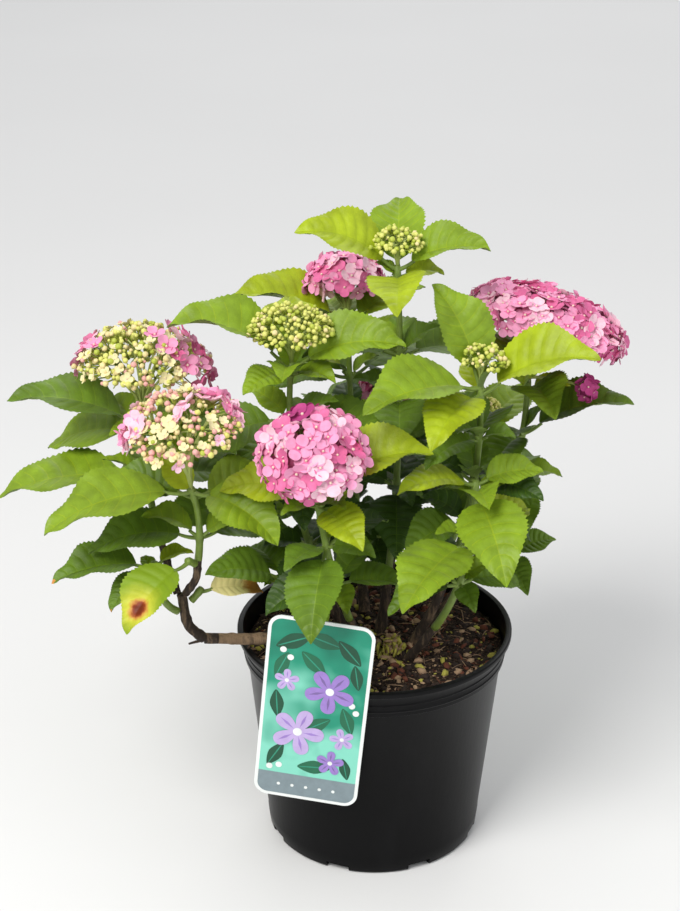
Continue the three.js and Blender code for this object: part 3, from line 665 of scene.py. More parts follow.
class Plant:
    """The grown plant: the curve of each cane and stem, the leaves and the domes."""

    def __init__(self):
        room = Room()
        self.canes = {cane.name: cane_curve(cane) for cane in CANES}
        self.stems = {shoot.name: stem_curve(shoot) for shoot in SHOOTS}
        for cane in CANES:
            room.limbs += limb_pieces(self.canes[cane.name], cane.radii, CANE_PIECES)
        for shoot in SHOOTS:
            room.limbs += limb_pieces(self.stems[shoot.name], (STEM_FOOT, STEM_TOP), STEM_PIECES, shoot.name)
        room.domes = [dome_of(shoot) for shoot in SHOOTS if shoot.head]
        grown = [wishes(shoot, self.stems[shoot.name]) for shoot in SHOOTS]
        for kind in range(2):
            for shoot, wanted in zip(SHOOTS, grown):
                for wish in wanted[kind]:
                    room.grow(wish, shoot)
        for shoot, wanted in zip(SHOOTS, grown):
            for wish in axils(shoot, wanted[0] + wanted[1]):
                room.grow(wish, shoot)
        self.leaves = room.leaves
        self.domes = room.domes


# Forms: small meshes as arrays, repeated many times into one joined piece


class Form:
    """A small mesh from bmesh operators, kept as arrays: corners, each face's corners and finish, and
    the corners that lie on a sharp margin."""

    def __init__(self, bm):
        bm.verts.index_update()
        self.points = np.array([vert.co for vert in bm.verts])
        self.loops = np.array([vert.index for face in bm.faces for vert in face.verts])
        self.sizes = np.array([len(face.verts) for face in bm.faces])
        self.finish = np.array([face.material_index for face in bm.faces])
        self.crisp = np.array([not all(edge.smooth for edge in vert.link_edges) for vert in bm.verts])
        bm.free()

    def middles(self):
        """The middle of each face."""
        starts = np.concatenate([[0], np.cumsum(self.sizes)[:-1]])
        return np.add.reduceat(self.points[self.loops], starts, axis=0) / self.sizes[:, None]


class Heap:
    """Repeated forms, joined into one mesh."""

    def __init__(self):
        self.points = []
        self.loops = []
        self.sizes = []
        self.finish = []
        self.crisp = []
        self.count = 0

    def add(self, form, points, finish):
        """Adds a form with its corners moved to points, each face with a finish or all with one."""
        self.points.append(points)
        self.loops.append(form.loops + self.count)
        self.sizes.append(form.sizes)
        self.finish.append(np.broadcast_to(finish, form.sizes.shape))
        self.crisp.append(form.crisp)
        self.count += len(points)

    def piece(self, name, finishes, replaced=(), smooth=True):
        """One finished object from everything in the heap."""
        mesh = bpy.data.meshes.new(name)
        points = np.concatenate(self.points) * MM
        loops = np.concatenate(self.loops)
        sizes = np.concatenate(self.sizes)
        mesh.vertices.add(len(points))
        mesh.vertices.foreach_set("co", points.astype(np.float32).ravel())
        mesh.loops.add(len(loops))
        mesh.loops.foreach_set("vertex_index", loops.astype(np.int32))
        mesh.polygons.add(len(sizes))
        mesh.polygons.foreach_set("loop_start", np.concatenate([[0], np.cumsum(sizes)[:-1]]).astype(np.int32))
        mesh.polygons.foreach_set("material_index", np.concatenate(self.finish).astype(np.int32))
        mesh.polygons.foreach_set("use_smooth", np.full(len(sizes), smooth))
        mesh.update(calc_edges=True)
        ends = np.empty(2 * len(mesh.edges), np.int32)
        mesh.edges.foreach_get("vertices", ends)
        margin = np.concatenate(self.crisp)[ends].reshape(-1, 2).all(axis=1)
        mesh.edges.foreach_set("use_edge_sharp", margin)
        return placed(name, mesh, finishes, replaced)


def mesh_of(bm, name):
    """The mesh of a finished bmesh."""
    mesh = bpy.data.meshes.new(name)
    bm.to_mesh(mesh)
    bm.free()
    return mesh


def linked(name, data):
    """A new object in the scene."""
    made = bpy.data.objects.new(name, data)
    bpy.context.scene.collection.objects.link(made)
    return made


def box(bm, size, middle):
    """A box of a size about its middle, as its corners."""
    corners = bmesh.ops.create_cube(bm, size=1)["verts"]
    bmesh.ops.scale(bm, verts=corners, vec=size)
    bmesh.ops.translate(bm, verts=corners, vec=middle)
    return corners


def turned(outline, steps, near):
    """A round form turned from the radii and heights of its outline; corners this near are joined."""
    bm = bmesh.new()
    corners = [bm.verts.new((radius, 0, height)) for radius, height in outline]
    line = [bm.edges.new(pair) for pair in zip(corners, corners[1:])]
    bmesh.ops.spin(bm, geom=[*corners, *line], cent=(0, 0, 0), axis=(0, 0, 1), angle=2 * math.pi,
                   steps=steps, use_merge=True)
    bmesh.ops.remove_doubles(bm, verts=bm.verts, dist=near)
    bmesh.ops.recalc_face_normals(bm, faces=bm.faces)
    return bm


def placed(name, mesh, finishes, replaced=()):
    """Links a finished mesh, gives it its finishes and puts it on the plant's one body."""
    made = linked(name, mesh)
    for finish in finishes:
        mesh.materials.append(finish)
    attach(made, "root")
    if replaced:
        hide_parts(*replaced)
    return made


def rod_form(sides, steps):
    """A closed upright rod of radius 1 from 0 to 1, cut into steps."""
    bm = bmesh.new()
    bmesh.ops.create_cone(bm, cap_ends=True, segments=sides, radius1=1, radius2=1, depth=1)
    bmesh.ops.translate(bm, verts=bm.verts, vec=(0, 0, 0.5))
    upright = [edge for edge in bm.edges if abs(edge.verts[0].co.z - edge.verts[1].co.z) > 0.5]
    if steps > 1:
        bmesh.ops.subdivide_edges(bm, edges=upright, cuts=steps - 1)
    return Form(bm)


def swept(form, curve, radius, reference=(0, 1, 0)):
    """A rod's corners along a curve: radius is a function of the share along and the angle round."""
    shares = np.round(form.points[:, 2], 6)
    angles = np.arctan2(form.points[:, 1], form.points[:, 0])
    points = np.empty_like(form.points)
    for share in np.unique(shares):
        chosen = shares == share
        tangent = curve.tangent(share)
        across = unit(np.cross(reference, tangent))
        up = np.cross(tangent, across)
        reach = radius(share, angles[chosen])
        points[chosen] = curve.point(share) + np.outer(reach * np.cos(angles[chosen]), across)
        points[chosen] += np.outer(reach * np.sin(angles[chosen]), up)
    return points


def even(thick, thin, ease=1.0):
    """The radius of a round rod that tapers along its share."""
    return lambda share, angles: np.full(len(angles), lerp(thick, thin, share ** ease))


def straight(form, start, end, thick, thin):
    """A rod's corners between two points."""
    axis = end - start
    reference = (1, 0, 0) if abs(axis[0]) < abs(axis[1]) else (0, 1, 0)
    across = unit(np.cross(reference, axis))
    up = np.cross(unit(axis), across)
    reach = lerp(thick, thin, form.points[:, 2])[:, None]
    around = np.outer(form.points[:, 0], across) + np.outer(form.points[:, 1], up)
    return start + np.outer(form.points[:, 2], axis) + around * reach


def standing(form, place, normal, turn, size):
    """A form's corners at a place, its +Z along the normal, turned about it and scaled."""
    reference = (1, 0, 0) if abs(normal[0]) < 0.8 else (0, 1, 0)
    across = unit(np.cross(reference, normal))
    up = np.cross(normal, across)
    first = across * math.cos(turn) + up * math.sin(turn)
    second = np.cross(normal, first)
    return place + (form.points * size) @ np.array([first, second, normal])


# Finishes


def colour_of(red, green, blue):
    """A colour stated from 0 to 255 as the shader wants it."""
    return tuple(
        (part / 255 / 12.92 if part <= 10 else ((part / 255 + 0.055) / 1.055) ** 2.4)
        for part in (red, green, blue)
    )


class Finish:
    """A procedural material: a base colour that drifts to a second one in patches, with fine relief."""

    def __init__(self, name, roughness, specular=0.5):
        self.material = bpy.data.materials.new(name)
        self.material.use_nodes = True
        self.nodes = self.material.node_tree.nodes
        self.links = self.material.node_tree.links
        self.shader = self.nodes["Principled BSDF"]
        self.shader.inputs["Roughness"].default_value = roughness
        self.shader.inputs["Specular IOR Level"].default_value = specular
        self.place = self.nodes.new("ShaderNodeTexCoord").outputs["Object"]
        self.material.diffuse_color = (0.5, 0.5, 0.5, 1)

    def node(self, kind, values, sources, operation=None):
        """A new node: stated values and the sources of its inputs, both by the input's name or number."""
        made = self.nodes.new("ShaderNode" + kind)
        if operation:
            made.operation = operation
        for key, value in values.items():
            made.inputs[key].default_value = value
        for key, source in sources.items():
            self.links.new(source, made.inputs[key])
        return made

    def pattern(self, scale, detail=4.0, rough=0.6, stretch=None):
        """A noise pattern in the plant's own space, with scale in patches to the metre."""
        source = self.place
        if stretch:
            source = self.node("Mapping", {"Scale": stretch}, {"Vector": source}).outputs["Vector"]
        values = {"Scale": scale, "Detail": detail, "Roughness": rough}
        return self.node("TexNoise", values, {"Vector": source}).outputs["Fac"]

    def around(self, centre, reach, ragged):
        """The distance from a place in millimetres as a share of a reach, with a ragged edge."""
        distance = self.node("VectorMath", {1: tuple(centre * MM)}, {0: self.place}, "DISTANCE")
        share = self.node("Math", {1: reach * MM}, {0: distance.outputs["Value"]}, "DIVIDE")
        return self.blend(self.pattern(160, 5.0, 0.7), ragged, share.outputs[0], -ragged / 2)

    def blend(self, pattern, amount, other, shift):
        """An amount of a pattern on top of another value, shifted."""
        scaled = self.node("Math", {1: amount, 2: shift}, {0: pattern}, "MULTIPLY_ADD")
        return self.node("Math", {}, {0: scaled.outputs[0], 1: other}, "ADD").outputs[0]

    def ramp(self, source, *stops):
        """Takes its base colour from a ramp that a pattern reads."""
        made = self.node("ValToRGB", {}, {"Fac": source})
        while len(made.color_ramp.elements) < len(stops):
            made.color_ramp.elements.new(0.5)
        for element, (place, colour) in zip(made.color_ramp.elements, stops):
            element.position = place
            element.color = (*colour, 1)
        self.links.new(made.outputs["Color"], self.shader.inputs["Base Color"])

    def relief(self, source, strength, distance):
        """Bumps of a height in metres that a pattern reads."""
        values = {"Strength": strength, "Distance": distance}
        bump = self.node("Bump", values, {"Height": source})
        self.links.new(bump.outputs["Normal"], self.shader.inputs["Normal"])


def drifting(name, base, drift, scale=90.0, roughness=0.5, grain=900.0, depth=0.25, specular=0.5):
    """A finish whose base colour drifts in soft patches, over a fine grain."""
    made = Finish(name, roughness, specular)
    made.ramp(made.pattern(scale), (0.35, base), (0.68, drift))
    made.relief(made.pattern(grain, 3.0), depth, 0.0006)
    return made.material


def drifts(prefix, group, names, share, *looks):
    """A drifting finish for each named colour of a group of settings."""
    colours = {name: tuple(getattr(group, name)) for name in names}
    return [drifting(f"{prefix} {name.replace('_', ' ')}", colour, shaded(colour, share), *looks)
            for name, colour in colours.items()]


def shaded(colour, share):
    """A colour made darker, or lighter for a share over 1."""
    return tuple(min(1.0, part * share) for part in colour)


# Settings


def colour_setting(name, description, red, green, blue):
    return FloatVectorProperty(name=name, description=description, subtype="COLOR", size=3, min=0, max=1,
                               default=colour_of(red, green, blue))


def length_setting(name, description, millimetres):
    return FloatProperty(name=name, description=description, subtype="DISTANCE", unit="LENGTH", min=0,
                         default=millimetres * MM)


def count_setting(name, description, count, least=0, most=10000):
    return IntProperty(name=name, description=description, default=count, min=least, max=most)


def power_setting(name, description, watts):
    return FloatProperty(name=name, description=description, subtype="POWER", unit="POWER", default=watts)


class PotSettings(bpy.types.PropertyGroup):
    """The nursery pot."""

    plastic: colour_setting("Plastic", "Colour of the moulded plastic", 10, 10, 11)
    dust: colour_setting("Dust", "Colour of the dust and dried splashes on it", 44, 43, 41)
    facets: count_setting("Facets", "Steps round the turned shell", 96, 24, 256)
    rounding: length_setting("Rounding", "Radius of the moulded edges", 0.35)


class CompostSettings(bpy.types.PropertyGroup):
    """The compost and what lies on it."""

    dark: colour_setting("Dark", "Colour of the damp compost", 50, 37, 31)
    tan: colour_setting("Tan", "Colour of dry fibres and chips", 182, 150, 120)
    red: colour_setting("Red", "Colour of reddish bark chips", 112, 62, 44)
    moss: colour_setting("Moss", "Colour of yellowish dead bits", 196, 188, 86)
    relief: length_setting("Relief", "Height of the lumps in the surface", 1.6)
    crumbs: count_setting("Crumbs", "Loose crumbs and chips on the surface", 2400)
    withered: count_setting("Withered", "Yellowed scraps in the dead tuft", 80)
    fibres: count_setting("Fibres", "Loose fibres on the surface", 300)


class TagSettings(bpy.types.PropertyGroup):
    """The name tag."""

    border: length_setting("Border", "Width of the white border", 2.2)
    card: colour_setting("Card", "Colour of the blank plastic card", 236, 240, 238)
    teal: colour_setting("Teal", "Colour at the head of the printed ground", 40, 146, 118)
    mint: colour_setting("Mint", "Colour of the palest printed ground", 134, 214, 192)
    violet: colour_setting("Violet", "Colour of the printed petals", 158, 128, 204)
    lilac: colour_setting("Lilac", "Colour of the paler petals", 194, 172, 222)
    green: colour_setting("Green", "Colour of the printed leaves", 22, 104, 72)
    grey: colour_setting("Grey", "Colour of the plain foot band", 128, 144, 150)


class CaneSettings(bpy.types.PropertyGroup):
    """The woody canes."""

    bark: colour_setting("Bark", "Colour of the dark bark", 64, 54, 47)
    worn: colour_setting("Worn bark", "Colour where the bark is dry or worn", 146, 122, 96)
    ridges: length_setting("Ridges", "Depth of the ridges in the bark", 0.28)
    green: colour_setting("Stem", "Colour of green stems and stalks", 122, 146, 58)
    rays: colour_setting("Rays", "Colour of the rays and bud stalks in a head", 176, 190, 104)


class LeafSettings(bpy.types.PropertyGroup):
    """The leaves."""

    veins: count_setting("Veins", "Side veins on each half of a blade", 9, 3, 14)
    tooth: FloatProperty(name="Tooth", description="Depth of the teeth as a share of the half width",
                         default=0.055, min=0, max=0.2)
    quilt: length_setting("Quilt", "Height of the blade between its side veins", 1.0)
    wave: length_setting("Wave", "Height of the waves in the margin", 2.0)
    thickness: length_setting("Thickness", "Thickness of the blade", 0.45)
    # Sunlit, fresh, middle and deep are the leaf green in steps of painted light and shade: sunlit is painted
    # light on high and front leaves, deep is painted shade on low, inner and rear ones, and down the nodes
    # the darkening is partly also the real darker green of older leaves.
    sunlit: colour_setting("Sunlit", "Colour of the youngest, brightest leaves", 158, 176, 28)
    fresh: colour_setting("Fresh", "Colour of fresh leaves", 128, 156, 34)
    middle: colour_setting("Middle", "Colour of grown leaves", 98, 128, 32)
    deep: colour_setting("Deep", "Colour of low, old leaves", 60, 88, 26)
    back: colour_setting("Back", "Colour of the underside", 120, 142, 70)
    yellowed: colour_setting("Yellowed", "Colour of a leaf that is turning", 196, 198, 62)
    brown: colour_setting("Brown", "Colour of its brown spot", 138, 56, 26)
    dry: colour_setting("Dry", "Colour of a dry leaf", 250, 236, 164)
    scorched: colour_setting("Scorched", "Colour of a dry leaf's end", 200, 138, 66)


class BlossomSettings(bpy.types.PropertyGroup):
    """The flower heads."""

    floret: length_setting("Floret", "Radius of an open floret", 8.2)
    spacing: length_setting("Spacing", "Distance between florets", 10.4)
    bud: length_setting("Bud", "Radius of a bud in a green head", 1.6)
    pale: colour_setting("Pale", "Colour of the palest sepals", 252, 206, 222)
    pink: colour_setting("Pink", "Colour of most sepals", 244, 162, 200)
    rose: colour_setting("Rose", "Colour of the strongest sepals", 226, 112, 162)
    # Magenta is also the painted shade in a spot on the front head
    magenta: colour_setting("Magenta", "Colour of a floret past its best", 184, 66, 130)
    eye: colour_setting("Eye", "Colour of the bead in a floret", 240, 214, 196)
    cream: colour_setting("Cream", "Colour of sepals that are still small", 238, 228, 176)
    green_bud: colour_setting("Green bud", "Colour of closed buds", 184, 196, 78)
    lime_bud: colour_setting("Lime bud", "Colour of swelling buds", 222, 222, 122)
    cream_bud: colour_setting("Cream bud", "Colour of buds about to open", 238, 220, 160)
    blush_bud: colour_setting("Blush bud", "Colour of buds that show pink", 236, 176, 168)


class StageSettings(bpy.types.PropertyGroup):
    """The camera, floor and lights."""

    lens: FloatProperty(name="Lens", description="Focal length on a 36 mm sensor", default=74.73,
                        subtype="DISTANCE_CAMERA")
    pitch: FloatProperty(name="Pitch", description="How far the camera looks down",
                         default=math.radians(24.15), subtype="ANGLE")
    camera: FloatVectorProperty(name="Camera", description="Where the camera stands", subtype="TRANSLATION",
                                unit="LENGTH", size=3, default=(-0.0233, -1.122, 0.780))
    floor: colour_setting("Floor", "Colour of the floor", 228, 228, 228)
    key: power_setting("Key", "Power of the key light", 46)
    fill: power_setting("Fill", "Power of the fill light", 11)
    back: power_setting("Back", "Power of the light over the floor behind", 60)
    sky: FloatProperty(name="Sky", description="Strength of the even light from all round", default=0.5)


# Pieces


class HYDRANGEA_OT_pot(bpy.types.Operator):
    """Turns the pot, rounds its moulded edges and cuts its drain slots"""

    bl_idname = "hydrangea.pot"
    bl_label = "Pot"

    def execute(self, context):
        settings = context.scene.hydrangea_pot
        outline = [(radius * MM, height * MM) for radius, height in self.outline()]
        bm = turned(outline, settings.facets, JOINED * MM)
        sharp = [edge for edge in bm.edges
                 if edge.is_manifold and edge.calc_face_angle() > BEVELLED]
        bmesh.ops.bevel(bm, geom=sharp, offset=settings.rounding, offset_type="OFFSET", affect="EDGES",
                        segments=2, profile=0.5, material=-1, clamp_overlap=True)
        made = placed("nursery_pot", mesh_of(bm, "nursery_pot"), [self.plastic(settings)], ["pot"])
        self.cut_slots(made)
        made.data.polygons.foreach_set("use_smooth", [True] * len(made.data.polygons))
        mark_sharp(made.data)
        return {"FINISHED"}

    @staticmethod
    def outline():
        """The shell's section as radius and height, from the middle of the foot over the lip to the floor."""
        collar_foot = POT_HEIGHT - COLLAR_DEPTH
        collar = body_radius(collar_foot) + COLLAR_STEP
        ribs = []
        for above in RIBS_ABOVE:
            rib = collar_foot + above
            ribs += [(collar, rib), (collar + RIB_RELIEF, rib + RIB_WIDTH / 2), (collar, rib + RIB_WIDTH)]
        return [
            (0, FOOT_RECESS), (FOOT_RADIUS - FOOT_RING[0], FOOT_RECESS), (FOOT_RADIUS - FOOT_RING[1], 0),
            (FOOT_RADIUS - FOOT_ROUND, 0), (FOOT_RADIUS, FOOT_ROUND),
            (body_radius(GROOVE_HEIGHT), GROOVE_HEIGHT),
            (body_radius(GROOVE_HEIGHT) - GROOVE_DEPTH, GROOVE_HEIGHT + GROOVE_WIDTH),
            (body_radius(collar_foot), collar_foot), (collar, collar_foot + EDGE),
            *ribs,
            (RIM_RADIUS - LIP, POT_HEIGHT - LIP_DEPTH - EDGE), (RIM_RADIUS, POT_HEIGHT - LIP_DEPTH),
            (RIM_RADIUS, POT_HEIGHT - EDGE), (RIM_RADIUS - EDGE, POT_HEIGHT),
            (RIM_RADIUS - LIP - WALL, POT_HEIGHT), (collar - WALL, collar_foot + WALL),
            (body_radius(collar_foot) - WALL, collar_foot - EDGE), (FOOT_RADIUS - WALL, FLOOR), (0, FLOOR),
        ]

    @staticmethod
    def cut_slots(made):
        """Cuts the drain slots out of the foot."""
        bm = bmesh.new()
        size = [side * MM for side in (DRAIN_DEPTH, DRAIN_WIDTH, 2 * DRAIN_HEIGHT)]
        for i in range(DRAIN_COUNT):
            slot = box(bm, size, ((FOOT_RADIUS - 1) * MM, 0, 0))
            turn = Matrix.Rotation(2 * math.pi * (i + DRAIN_TURN) / DRAIN_COUNT, 3, "Z")
            bmesh.ops.rotate(bm, verts=slot, cent=(0, 0, 0), matrix=turn)
        cutter = linked("drain_slots", mesh_of(bm, "drain_slots"))
        cut = made.modifiers.new("Drain slots", "BOOLEAN")
        cut.operation = "DIFFERENCE"
        cut.solver = "EXACT"
        cut.object = cutter
        depsgraph = bpy.context.evaluated_depsgraph_get()
        shell = bpy.data.meshes.new_from_object(made.evaluated_get(depsgraph))
        made.modifiers.clear()
        made.data = shell
        bpy.data.objects.remove(cutter)

    @staticmethod
    def plastic(settings):
        made = Finish("Pot plastic", 0.3, 0.12)
        base = tuple(settings.plastic)
        made.ramp(made.pattern(26, 6.0, 0.62, (1, 1, 0.35)),
                  (0.52, base), (0.68, shaded(base, 1.5)), (0.9, tuple(settings.dust)))
        made.relief(made.pattern(420, 4.0, 0.6, (1, 1, 0.2)), 0.16, 0.0004)
        return made.material


def body_radius(height):
    """The radius of the pot's tapered wall at a height."""
    return lerp(FOOT_RADIUS, RIM_RADIUS - LIP - COLLAR_STEP, height / POT_HEIGHT)


def mark_sharp(mesh):
    """Keeps creased edges crisp while the rest is smooth."""
    bm = bmesh.new()
    bm.from_mesh(mesh)
    for edge in bm.edges:
        edge.smooth = not (edge.is_manifold and edge.calc_face_angle() > CREASED)
    bm.to_mesh(mesh)
    bm.free()


# Where the compost ends beside the wall, its lumps, and the sizes in millimetres of what lies on it, with
# the finishes that each kind draws from and how dark, light and rough each finish is
FILL_SHARE = 0.9
FILL_GAP = 0.8
BARE_EDGE = 2
LUMPS = (14, 0.8)
GRAINS = (4.5, 0.55)
GRAIN_SHIFT = 40
SOIL_TAPER = 1.2
SMALL_CRUMB = (0.6, 1.5)
LARGE_CRUMB = (1.6, 4.2)
SMALL_SHARE = 0.66
CRUMB_WIDTH = (0.4, 1)
CRUMB_HEIGHT = (0.25, 0.6)
CRUMB_TILT = 0.35
CRUMB_DENTS = (0.8, 1.1, 0.95, 1.15)
CRUMB_KINDS = [0, 0, 0, 0, 0, 1, 1, 2, 2, 3]
DEAD_TUFT = (11, -20)
TUFT_SPREAD = 4.5
TUFT_HEIGHT = 17
TUFT_FADE = 6
SCRAP = (2.0, 5.0)
SCRAP_WIDTH = (0.3, 0.6)
SCRAP_HEIGHT = 0.12
SCRAP_CLEAR = 0.8
SCRAP_KINDS = [1, 1, 3, 3, 3]
FIBRE_LENGTH = (4, 15)
FIBRE_THICK = (0.15, 0.34)
FIBRE_CLEAR = 0.5
FIBRE_ARCH = (0.5, 2.2)
FIBRE_KINDS = [0, 1, 1, 2]
LITTER = [("dark", 0.7, 1.5, 0.9), ("tan", 0.8, 1.15, 0.9), ("red", 0.7, 1.3, 0.85), ("moss", 0.7, 1.1, 0.9)]


class HYDRANGEA_OT_compost(bpy.types.Operator):
    """Fills the pot with lumpy compost and strews crumbs, chips and fibres on it"""

    bl_idname = "hydrangea.compost"
    bl_label = "Compost"

    def execute(self, context):
        settings = context.scene.hydrangea_compost
        self.relief = settings.relief / MM
        self.edge = body_radius(FILL_SHARE * POT_HEIGHT) + COLLAR_STEP - WALL - FILL_GAP
        self.reach = self.edge - BARE_EDGE
        self.fill(settings)
        self.strew(settings)
        return {"FINISHED"}

    def surface(self, x, y):
        """The height of the compost at a place, lumps included."""
        fall = max(0, math.hypot(x, y) - SOIL_FLAT_RADIUS) / (self.edge - SOIL_FLAT_RADIUS)
        lumps = LUMPS[1] * noise.noise(Vector((x, y, 0)) / LUMPS[0])
        grains = GRAINS[1] * noise.noise(Vector((x, y, GRAIN_SHIFT)) / GRAINS[0])
        return lerp(SOIL_TOP, SOIL_EDGE, min(1, fall)) + self.relief * (lumps + grains)

    def fill(self, settings):
        """A turned cake with a lumpy top."""
        outline = [(self.edge * i / SOIL_RINGS, SOIL_TOP) for i in range(SOIL_RINGS + 1)]
        outline += [(self.edge - SOIL_TAPER, SOIL_EDGE - SOIL_DEPTH), (0, SOIL_EDGE - SOIL_DEPTH)]
        bm = turned(outline, SOIL_SPOKES, JOINED)
        for vert in bm.verts:
            if vert.co.z > SOIL_TOP - 1:
                vert.co.z = self.surface(vert.co.x, vert.co.y)
        heap = Heap()
        form = Form(bm)
        heap.add(form, form.points, 0)
        heap.piece("compost_fill", [self.soil(settings)], ["compost"])

    def strew(self, settings):
        """Crumbs, chips and fibres, each settled on the surface."""
        rng = np.random.default_rng(7)
        heap = Heap()
        crumb = self.crumb()
        for _ in range(settings.crumbs):
            self.drop(heap, crumb, rng)
        for _ in range(settings.withered):
            self.wither(heap, crumb, rng)
        fibre = rod_form(*FIBRE_ROD)
        for _ in range(settings.fibres):
            self.lay(heap, fibre, rng)
        shades = [(name, getattr(settings, name), low, high, rough) for name, low, high, rough in LITTER]
        heap.piece("compost_litter", [
            drifting(f"Litter {name}", shaded(colour, low), shaded(colour, high), 300, rough, 1500, 0.5)
            for name, colour, low, high, rough in shades
        ])

    def anywhere(self, rng):
        """A place inside the edge as its radius and its turn."""
        return self.reach * math.sqrt(rng.random()), 2 * math.pi * rng.random()

    def drop(self, heap, crumb, rng):
        """A crumb or chip, most of them small."""
        out, turn = self.anywhere(rng)
        x, y = out * math.cos(turn), out * math.sin(turn)
        big = rng.uniform(*(SMALL_CRUMB if rng.random() < SMALL_SHARE else LARGE_CRUMB))
        size = big * np.array([1, rng.uniform(*CRUMB_WIDTH), rng.uniform(*CRUMB_HEIGHT)])
        normal = unit(np.array([*rng.normal(0, CRUMB_TILT, 2), 1]))
        place = np.array([x, y, self.surface(x, y) + 0.2 * size[2]])
        heap.add(crumb, standing(crumb, place, normal, turn * 5, size), int(rng.choice(CRUMB_KINDS)))

    def wither(self, heap, crumb, rng):
        """A yellowed scrap in the dead tuft."""
        x, y = rng.normal(DEAD_TUFT, TUFT_SPREAD)
        size = rng.uniform(*SCRAP) * np.array([1, rng.uniform(*SCRAP_WIDTH), SCRAP_HEIGHT])
        normal = unit(rng.normal(0, 1, 3) + (0, 0, 0.6))
        far = math.hypot(x - DEAD_TUFT[0], y - DEAD_TUFT[1])
        rise = rng.uniform(0, TUFT_HEIGHT) * math.exp(-far / TUFT_FADE)
        place = np.array([x, y, self.surface(x, y) + SCRAP_CLEAR + rise])
        heap.add(crumb, standing(crumb, place, normal, rng.uniform(0, 6), size), int(rng.choice(SCRAP_KINDS)))

    def lay(self, heap, fibre, rng):
        """A fibre that arches from end to end."""
        out, turn = self.anywhere(rng)
        heading = 2 * math.pi * rng.random()
        length = rng.uniform(*FIBRE_LENGTH)
        ends = []
        for share in (0, 0.5, 1):
            x = out * math.cos(turn) + length * (share - 0.5) * math.cos(heading)
            y = out * math.sin(turn) + length * (share - 0.5) * math.sin(heading)
            inside = min(1, self.reach / max(math.hypot(x, y), 0.01))
            x, y = x * inside, y * inside
            lift = FIBRE_CLEAR + (rng.uniform(*FIBRE_ARCH) if share == 0.5 else 0)
            ends.append(np.array([x, y, self.surface(x, y) + lift]))
        thick = rng.uniform(*FIBRE_THICK)
        points = swept(fibre, arched(*ends), even(thick, thick), (0, 0, 1))
        heap.add(fibre, points, int(rng.choice(FIBRE_KINDS)))

    @staticmethod
    def crumb():
        """A lump with dented sides."""
        bm = bmesh.new()
        bmesh.ops.create_icosphere(bm, subdivisions=1, radius=1)
        for i, vert in enumerate(bm.verts):
            vert.co *= CRUMB_DENTS[i % 4]
        return Form(bm)

    @staticmethod
    def soil(settings):
        made = Finish("Compost", 0.95, 0.25)
        dark = tuple(settings.dark)
        made.ramp(made.pattern(520, 5.0, 0.75),
                  (0.38, shaded(dark, 0.45)), (0.52, dark), (0.66, shaded(settings.tan, 0.5)))
        made.relief(made.pattern(700, 6.0, 0.8), 0.9, 0.0016)
        return made.material


# The printed picture in millimetres from the middle of the tag's head: leaves by turn and half length,
# blooms by radius and tone, then its finishes, its smallest parts and the parts of a bloom as shares of it
PRINTED_LEAVES = [
    (-17, -17, 0.45, 12), (2, -14, -0.25, 12), (19, -20, -0.8, 11), (-23, -35, 1.2, 10), (25, -37, -1.35, 9),
    (-3, -31, 2.4, 11), (-24, -64, 1.7, 10), (22, -70, -1.2, 10), (-22, -102, 1.1, 10), (4, -108, 0.1, 11),
    (24, -106, -1.3, 8), (3, -76, 0.6, 10),
]
PRINTED_BLOOMS = [(-19, -46, 8, 1), (20, -84, 8, 1), (9, -50, 16, 0), (-9, -83, 17, 1), (14, -103, 9, 0)]
PRINTED_BERRIES = [(-23, -24), (-18, -29), (24, -58), (27, -63), (-25, -112), (-19, -110)]
PRINTED_DOTS = [-18, -9, 0, 9, 18]
VIOLET, LILAC, GREEN, WHITE, GREY, DARK, PLUM, RIB = range(8)
BAND_TOP = 18
DOT_HEIGHT = 9.5
DOT_RADIUS = 1.1
BERRY_RADIUS = 2.1
PROUD = 0.06
PLATE_THICK = 0.03
PLATE_CORNERS = 28
PETALS = 5
PETAL_OUT = 0.54
PETAL_SIZE = 0.48
STREAK_SIZE = 0.4
EYE_SIZE = 0.17


